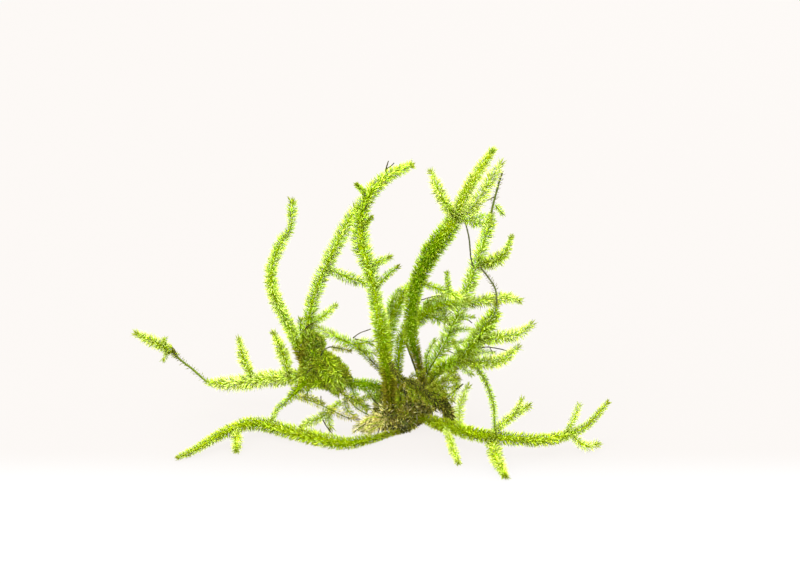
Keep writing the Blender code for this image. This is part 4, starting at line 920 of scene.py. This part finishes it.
def add_litter(heap, ball, material, count, ages, sizes, stand=(0.3, 1.4)):
    """Adds leaves that lie and stand on a lumpy ball."""
    random = heap.random
    ways = random_ways(random, count)
    bases = np.array([lumpy_spot(*ball, way, 0.6) for way in ways])
    flat = unit(np.cross(ways, random.normal(0.0, 1.0, (count, 3))))
    rise = random.uniform(*stand, count)[:, None]
    directions = unit(flat + rise * ways + np.array([0.0, 0.0, 0.35]))
    lengths = random.uniform(*sizes, count)
    widths = lengths * random.uniform(0.12, 0.22, count)
    leaf_ages = random.uniform(*ages, count)
    add_leaves(heap, material, bases, (directions, ways), lengths, widths, leaf_ages, swing=0.9)


def new_material(name):
    """An empty node material, and its node tree."""
    made = bpy.data.materials.new(name)
    made.use_nodes = True
    made.node_tree.nodes.clear()
    return made, made.node_tree


def new_node(tree, kind, inputs):
    """A node of this kind, with each of its inputs set to a value or linked to a socket."""
    node = tree.nodes.new(kind)
    for name, value in inputs.items():
        if isinstance(value, bpy.types.NodeSocket):
            tree.links.new(value, node.inputs[name])
        else:
            node.inputs[name].default_value = value
    return node


def number_from(tree, name):
    """The socket of a number that the mesh stores."""
    node = tree.nodes.new("ShaderNodeAttribute")
    node.attribute_name = name
    return node.outputs["Fac"]


def own_place(tree):
    """The socket of the object's own space."""
    return tree.nodes.new("ShaderNodeTexCoord").outputs["Object"]


def ramp(tree, factor, stops):
    """A colour ramp over a factor: (position, colour) stops."""
    node = new_node(tree, "ShaderNodeValToRGB", {"Fac": factor})
    elements = node.color_ramp.elements
    while len(elements) < len(stops):
        elements.new(0.5)
    for element, (position, colour) in zip(elements, stops):
        element.position = position
        element.color = (*colour, 1.0)
    return node.outputs["Color"]


def scaled(tree, value, low, high, new_low, new_high, smooth=False):
    """A number moved from one range to another."""
    node = new_node(tree, "ShaderNodeMapRange", {
        "Value": value, "From Min": low, "From Max": high, "To Min": new_low, "To Max": new_high,
    })
    node.interpolation_type = "SMOOTHSTEP" if smooth else "LINEAR"
    return node.outputs["Result"]


def mixed(tree, factor, first, second):
    """Two colours mixed by a factor."""
    node = tree.nodes.new("ShaderNodeMix")
    node.data_type = "RGBA"
    for number, socket in ((0, factor), (6, first), (7, second)):
        tree.links.new(socket, node.inputs[number])
    return node.outputs[2]


def noise_over(tree, scale, detail=3.0):
    """Noise over the object's own space. scale is the number of its bumps on a metre."""
    inputs = {"Vector": own_place(tree), "Scale": scale, "Detail": detail}
    return new_node(tree, "ShaderNodeTexNoise", inputs).outputs["Fac"]


def varied(tree, colour, brightness, hue):
    """A colour whose brightness and hue vary by two numbers."""
    inputs = {"Color": colour, "Value": brightness, "Hue": hue}
    return new_node(tree, "ShaderNodeHueSaturation", inputs).outputs["Color"]


def bumped(tree, scale, detail, strength, distance):
    """The normal of a surface with noise for bumps."""
    inputs = {"Height": noise_over(tree, scale, detail), "Strength": strength, "Distance": distance}
    return new_node(tree, "ShaderNodeBump", inputs).outputs["Normal"]


def show(tree, shader):
    """Makes a shader the material's surface."""
    new_node(tree, "ShaderNodeOutputMaterial", {"Surface": shader.outputs[0]})


# How much the shade of leaves differs from leaf to leaf, and in which materials by more or less
USUAL_SHADES = (0.55, 1.25)
LEAF_SHADES = {"leaf_dark": (0.7, 1.12), "stem_brown": (0.4, 1.42), "leaf_tan": (0.6, 1.2)}

# How much of the light on a leaf comes out on its other side
THROUGH = 0.7
# The leaves' colours: (tip, foot) for old, full-grown and young leaves. The paler tip is painted light, as if
# light came through a lone leaf tip, and the darker foot is painted shade, as in a shoot's dense core.
LEAF_COLOURS = {
    "leaf_bright": (
        ((0.44, 0.39, 0.04), (0.22, 0.19, 0.004)),
        ((0.66, 0.76, 0.045), (0.32, 0.46, 0.0005)),
        ((0.86, 0.91, 0.50), (0.60, 0.71, 0.006)),
    ),
    "leaf_green": (
        ((0.44, 0.39, 0.04), (0.20, 0.17, 0.003)),
        ((0.68, 0.80, 0.045), (0.32, 0.49, 0.0005)),
        ((0.84, 0.91, 0.48), (0.58, 0.71, 0.006)),
    ),
    "leaf_dark": (
        ((0.40, 0.35, 0.03), (0.18, 0.15, 0.002)),
        ((0.66, 0.80, 0.06), (0.18, 0.395, 0.0005)),
        ((0.85, 0.90, 0.45), (0.57, 0.68, 0.005)),
    ),
    "stem_brown": (
        ((0.68, 0.60, 0.22), (0.30, 0.24, 0.018)),
        ((0.70, 0.72, 0.13), (0.28, 0.32, 0.006)),
        ((0.72, 0.80, 0.12), (0.32, 0.48, 0.003)),
    ),
    "leaf_tan": (
        ((0.66, 0.57, 0.25), (0.42, 0.33, 0.12)),
        ((0.86, 0.82, 0.42), (0.64, 0.56, 0.20)),
        ((0.94, 0.93, 0.55), (0.80, 0.76, 0.30)),
    ),
}


def leaf_material(name, colours, shades):
    """Thin leaves that light passes through. Painted light makes them paler towards their tips and edges;
    painted shade makes them darker at their feet and along the midrib, whose own colour is a little darker
    too.
    """
    made, tree = new_material(name)
    age = scaled(tree, number_from(tree, "age"), 0.0, 2.0, 0.0, 1.0)
    # The tip colour is painted light through a lone leaf tip, the foot colour painted shade in a shoot's dense
    # core.
    tip, shaded_foot = [ramp(tree, age, list(zip((0.0, 0.5, 1.0), stops))) for stops in zip(*colours)]
    out = scaled(tree, number_from(tree, "along"), 0.1, 0.95, 0.0, 1.0, smooth=True)
    # Towards the midrib the colour goes to the darker foot colour: partly the midrib's own colour, partly
    # painted shade, so that the edges look lit.
    midrib_and_lit_edges = scaled(tree, number_from(tree, "middle"), 0.3, 1.0, 0.0, 0.28)
    colour = mixed(tree, midrib_and_lit_edges, mixed(tree, out, shaded_foot, tip), shaded_foot)
    light = scaled(tree, number_from(tree, "shade"), 0.0, 1.0, *shades)
    hue = scaled(tree, noise_over(tree, 900.0), 0.3, 0.7, 0.488, 0.512)
    colour = varied(tree, colour, light, hue)
    shader = new_node(tree, "ShaderNodeBsdfPrincipled", {
        "Base Color": colour, "Roughness": 0.5, "Specular IOR Level": 0.0,
        "Normal": bumped(tree, 14000.0, 1.0, 0.35, 0.00002),
    })
    glow = new_node(tree, "ShaderNodeBsdfTranslucent", {"Color": colour})
    sides = {"Fac": THROUGH, 1: shader.outputs["BSDF"], 2: glow.outputs["BSDF"]}
    show(tree, new_node(tree, "ShaderNodeMixShader", sides))
    return made


def solid_material(name, colour_of, roughness, scale, bump, distance):
    """A rough material. colour_of builds its colour in the node tree."""
    made, tree = new_material(name)
    show(tree, new_node(tree, "ShaderNodeBsdfPrincipled", {
        "Base Color": colour_of(tree), "Roughness": roughness, "Specular IOR Level": 0.03,
        "Normal": bumped(tree, scale, 4.0, bump, distance),
    }))
    return made


def stem_colour(tree):
    """Brown where a stem is old, green where it is young, with streaks."""
    age = scaled(tree, number_from(tree, "age"), 0.0, 2.0, 0.0, 1.0)
    colour = ramp(tree, age, [
        (0.0, (0.036, 0.032, 0.010)), (0.2, (0.052, 0.060, 0.020)),
        (0.5, (0.13, 0.20, 0.003)), (1.0, (0.25, 0.36, 0.005)),
    ])
    light = scaled(tree, noise_over(tree, 2600.0), 0.3, 0.7, 0.65, 1.3)
    hue = scaled(tree, noise_over(tree, 700.0), 0.3, 0.7, 0.485, 0.515)
    return varied(tree, colour, light, hue)


def core_colour(tree):
    """The heart of the mat: dark earth brown, khaki and moss green in small patches."""
    colour = ramp(tree, noise_over(tree, 1500.0, 6.0), [
        (0.34, (0.075, 0.055, 0.004)), (0.48, (0.21, 0.17, 0.012)),
        (0.6, (0.44, 0.38, 0.05)), (0.72, (0.26, 0.34, 0.008)),
    ])
    light = scaled(tree, number_from(tree, "shade"), 0.2, 0.8, 0.75, 1.3)
    hue = scaled(tree, noise_over(tree, 320.0), 0.3, 0.7, 0.485, 0.52)
    return varied(tree, colour, light, hue)


def stub_colour(tree):
    """Nearly black old bark with lighter crumbs."""
    colour = ramp(tree, noise_over(tree, 2600.0, 5.0), [
        (0.3, (0.007, 0.008, 0.001)), (0.45, (0.025, 0.028, 0.003)), (0.65, (0.12, 0.122, 0.016)),
    ])
    light = scaled(tree, number_from(tree, "shade"), 0.0, 1.0, 0.7, 1.3)
    hue = scaled(tree, noise_over(tree, 500.0), 0.3, 0.7, 0.49, 0.51)
    return varied(tree, colour, light, hue)


def make_materials():
    """All of the clump's materials by name."""
    made = {}
    for slot, colours in LEAF_COLOURS.items():
        made[slot] = leaf_material(slot, colours, LEAF_SHADES.get(slot, USUAL_SHADES))
    made["stem"] = solid_material("moss_stem", stem_colour, 0.6, 5200.0, 0.5, 0.00004)
    made["core"] = solid_material("mat_core", core_colour, 0.85, 3600.0, 0.8, 0.00012)
    made["stub_dark"] = solid_material("stub_bark", stub_colour, 0.8, 4200.0, 0.8, 0.0001)
    return made


def finish_piece(heap, materials, names, node):
    """Makes the heap's piece from these materials, hangs it on the body that it moves with, and hides the
    solid that it stands for.
    """
    thing = heap.piece(node + "_moss", [materials[name] for name in names])
    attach(thing, BODY)
    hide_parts(node)


def make_shoots(materials):
    """Every shoot that stands for a solid of its own."""
    for seed, (node, (slot, parts, place, body, further)) in enumerate(SHOOTS.items()):
        heap = Heap(100 + seed)
        for rows, density, profile in parts:
            add_shoot(heap, rows, place, density, profile, body=body, further=further)
        foot_age, tip_age = SMALL_SHOOT_AGES.get(node, (0.8, 1.8))
        for rows in SMALL_SHOOTS.get(node, []):
            add_shoot(heap, rows, place, 11, {0: foot_age, 1: tip_age}, body=0.2)
        for rows in TWIGS.get(node, []):
            add_twig(heap, rows, place)
        leaf, stem = "leaf_green" if node in GREEN_LEAVED else slot, "stem"
        if slot == "stub_dark":
            leaf, stem = "leaf_dark", "stub_dark"
            add_shoot(heap, parts[0][0], place, 12, {0: 0.0, 1: 0.0}, leaf=1, body=0.3)
        finish_piece(heap, materials, (leaf, stem), node)


def make_crown(materials):
    """The mat: a crumbly heart, and on it fibres, old leaves and short leafy shoots that rise and spread."""
    heap = Heap(7)
    names = ("stem_brown", "stem", "core", "leaf_dark", "leaf_tan", "stub_dark")
    brown, stem, core, dark, tan, stub = range(len(names))
    for ball, share in zip(MAT_BALLS, (1.0, 0.6)):
        add_core(heap, ball, core, fineness=4, deeper=1.3)
        add_fibres(heap, ball, stem, int(150 * share), reach=(3.0, 8.0), rise=1.2)
        add_litter(heap, ball, brown, int(1300 * share), (0.0, 0.9), (1.1, 2.3))
        add_litter(heap, ball, tan, int(600 * share), (1.2, 2.0), (1.2, 2.4))
        add_litter(heap, ball, stub, int(220 * share), (0.0, 0.9), (1.1, 2.3))
        for leaf, count, reach, lifts, ages, facing in (
            (brown, 26, (2.5, 5.0), (-0.9, 0.1), (0.0, 0.7), (-0.5, -0.6, -0.6)),
            (dark, 44, (2.5, 5.5), (-0.9, 0.2), (0.0, 0.8), (0.5, 0.1, 0.8)),
            (stub, 12, (2.5, 4.5), (-0.7, 0.3), (0.0, 0.8), (0.8, -0.3, 0.5)),
        ):
            add_tangle(heap, ball, int(count * share), reach, lifts, ages, 1.0, leaf, facing)
    finish_piece(heap, materials, names, "crown_mat")


def make_knot(materials):
    """The knot where the left shoots meet: short green shoots grown into one another."""
    heap = Heap(8)
    names = ("leaf_green", "stem", "core", "stem_brown", "leaf_dark")
    green, stem, core, brown, dark = range(len(names))
    for ball, share, ages in zip(KNOT_BALLS, (1.0, 0.5, 0.6), ((0.7, 1.5), (0.8, 1.6), (0.3, 1.3))):
        add_core(heap, ball, core, fineness=3, deeper=1.6)
        add_fibres(heap, ball, stem, int(30 * share), reach=(1.5, 3.0), rise=1.6)
        add_litter(heap, ball, green, int(1000 * share), ages, (0.7, 1.6), stand=(0.6, 2.6))
        add_litter(heap, ball, dark, int(1500 * share), (0.3, 1.0), (0.7, 1.5), stand=(0.4, 2.0))
        add_litter(heap, ball, brown, int(900 * share), (0.3, 1.4), (0.7, 1.5), stand=(0.3, 1.8))
        add_tangle(heap, ball, int(26 * share), (2.0, 4.0), (-0.9, 0.1), ages, 1.8, dark)
    for rows in SMALL_SHOOTS["left_knot"]:
        add_shoot(heap, rows, by_depth, 12, {0: 0.6, 0.5: 1.0, 1: 1.35})
    for rows in TWIGS["left_knot"]:
        add_twig(heap, rows, by_depth)
    finish_piece(heap, materials, names, "left_knot")


def add_strand(heap, rows, reach, age):
    """Adds a thin fibre that runs beside a path for part of its length."""
    random = heap.random
    path = Path(rows, by_depth)
    start = random.uniform(0.0, 0.6) * path.total
    end = min(path.total, start + random.uniform(0.25, 0.6) * path.total)
    lengths = np.linspace(start, end, 9)
    angle = random.uniform(0.0, 2 * math.pi) + np.cumsum(random.normal(0.0, 0.25, 9))
    away = reach * path.at(lengths, path.radii) * random.uniform(0.75, 1.0)
    across = path.at(lengths, path.across)
    other = path.at(lengths, path.other)
    round_ways = np.cos(angle)[:, None] * across + np.sin(angle)[:, None] * other
    spots = path.at(lengths, path.points) + away[:, None] * round_ways
    strand = Path([(*spot, 0.06) for spot in spots], by_plan)
    add_stem(heap, 1, strand, strand.radii, np.asarray(age), sides=FIBRE_SIDES, step=0.3, rough=0.1)


def make_stub(materials):
    """The dark stub: a knobbly woody piece matted with old leaves and fibres."""
    heap = Heap(9)
    names = ("leaf_dark", "stub_dark", "stem_brown")
    dark, stub, brown = range(len(names))
    path = Path(STUB, by_depth)
    lumps = 0.58 + 0.2 * np.sin(path.lengths * 3.1) * np.sin(path.lengths * 1.3 + 1.0)
    add_stem(heap, stub, path, path.radii * lumps, np.asarray(0.0), sides=18, step=0.12, rough=0.12)
    for _ in range(60):
        add_strand(heap, STUB, 0.95, age=0.2)
    add_shoot(heap, STUB, by_depth, 14, {0: 0.0, 1: 0.0}, leaf=stub, body=0.5)
    add_shoot(heap, STUB, by_depth, 10, {0: 0.6, 0.5: 0.2, 1: 0.0}, leaf=brown, body=0.0)
    add_shoot(heap, STUB, by_depth, 4, {0: 1.0, 0.4: 0.9, 1: 0.8}, leaf=dark, body=0.0)
    finish_piece(heap, materials, names, "dark_stub")


def make_tuft(materials):
    """The pale tuft: fine feathery strands that fan out from the mat."""
    heap = Heap(10)
    random = heap.random
    middle = Path(TUFT, by_depth)
    strands = 8
    for strand in range(strands):
        angle = strand * GOLDEN_ANGLE
        away = math.sqrt((strand + 0.5) / strands)
        lengths = np.linspace(0.0, middle.total * random.uniform(0.75, 1.0), 6)
        spots = middle.at(lengths, middle.points)
        fan = np.minimum(1.9, 0.2 + 0.32 * lengths)[:, None] * away
        across, other = middle.at(lengths, middle.across), middle.at(lengths, middle.other)
        ways = math.cos(angle) * across + math.sin(angle) * other
        spots = spots + fan * ways + random.normal(0.0, 0.12, (6, 3))
        rows = [(*spot, size) for spot, size in zip(spots, (0.4, 0.6, 0.75, 0.7, 0.6, 0.4))]
        add_shoot(heap, rows, by_plan, 4.5, {0: 0.7, 0.5: 1.5, 1: 2.0}, opening=0.65, body=0.0)
    for _ in range(9):
        add_strand(heap, TUFT, 1.0, age=random.uniform(0.0, 0.6))
    finish_piece(heap, materials, ("leaf_tan", "stem"), "tan_tuft")


def floor_material():
    """A plain white table top, a trace warmer towards the back."""
    made, tree = new_material("floor_white")
    split = new_node(tree, "ShaderNodeSeparateXYZ", {"Vector": own_place(tree)})
    back = scaled(tree, split.outputs["Y"], -0.036, -0.012, 0.0, 1.0, smooth=True)
    show(tree, new_node(tree, "ShaderNodeBsdfPrincipled", {
        "Base Color": ramp(tree, back, [(0.0, (0.025, 0.025, 0.025)), (1.0, (0.02, 0.02, 0.02))]),
        "Emission Color": ramp(tree, back, [(0.0, (0.92, 0.92, 0.92)), (1.0, (0.870, 0.836, 0.810))]),
        "Roughness": 1.0, "Specular IOR Level": 0.0, "Emission Strength": 1.0,
    }))
    return made


def make_stage():
    """The table top, the white room and two large soft lamps."""
    mesh = bpy.data.meshes.new("floor")
    corners = [(FLOOR_HALF * x, FLOOR_HALF * y, 0.0) for x, y in ((-1, -1), (1, -1), (1, 1), (-1, 1))]
    mesh.from_pydata(corners, [], [(0, 1, 2, 3)])
    floor = bpy.data.objects.new("floor", mesh)
    bpy.context.scene.collection.objects.link(floor)
    floor.data.materials.append(floor_material())
    world = bpy.data.worlds.new("white_room")
    world.use_nodes = True
    back = world.node_tree.nodes["Background"]
    back.inputs["Color"].default_value = (1.0, 0.995, 0.985, 1.0)
    back.inputs["Strength"].default_value = ROOM_LIGHT
    bpy.context.scene.world = world
    lamps = (
        ("key_lamp", (-0.35, -0.35, 0.6), 0.45, 5.0),
        ("back_lamp", (0.25, 0.5, 0.45), 0.5, 5.0),
    )
    for name, spot, size, power in lamps:
        data = bpy.data.lights.new(name, "AREA")
        data.size = size
        data.energy = power
        lamp = bpy.data.objects.new(name, data)
        lamp.location = spot
        aim = Vector((0.0, 0.0, 0.025)) - Vector(spot)
        lamp.rotation_euler = aim.to_track_quat("-Z", "Y").to_euler()
        bpy.context.scene.collection.objects.link(lamp)


def make_camera():
    """The camera, as far from the clump and as steep as in the photograph."""
    data = bpy.data.cameras.new("camera")
    data.lens = LENS
    data.sensor_width = SENSOR
    data.clip_start = 0.01
    data.clip_end = 20.0
    camera = bpy.data.objects.new("camera", data)
    back = VIEW_DISTANCE * Vector((0.0, -math.cos(VIEW_TILT), math.sin(VIEW_TILT)))
    camera.location = (Vector((VIEW_MIDDLE[0], 0.0, view_middle_height())) + back) * MM
    camera.rotation_euler = (math.radians(90.0) - VIEW_TILT, 0.0, 0.0)
    bpy.context.scene.collection.objects.link(camera)
    bpy.context.scene.camera = camera


bpy.context.scene.view_settings.view_transform = "Standard"
make_camera()
make_stage()
all_materials = make_materials()
make_crown(all_materials)
make_knot(all_materials)
make_stub(all_materials)
make_tuft(all_materials)
make_shoots(all_materials)
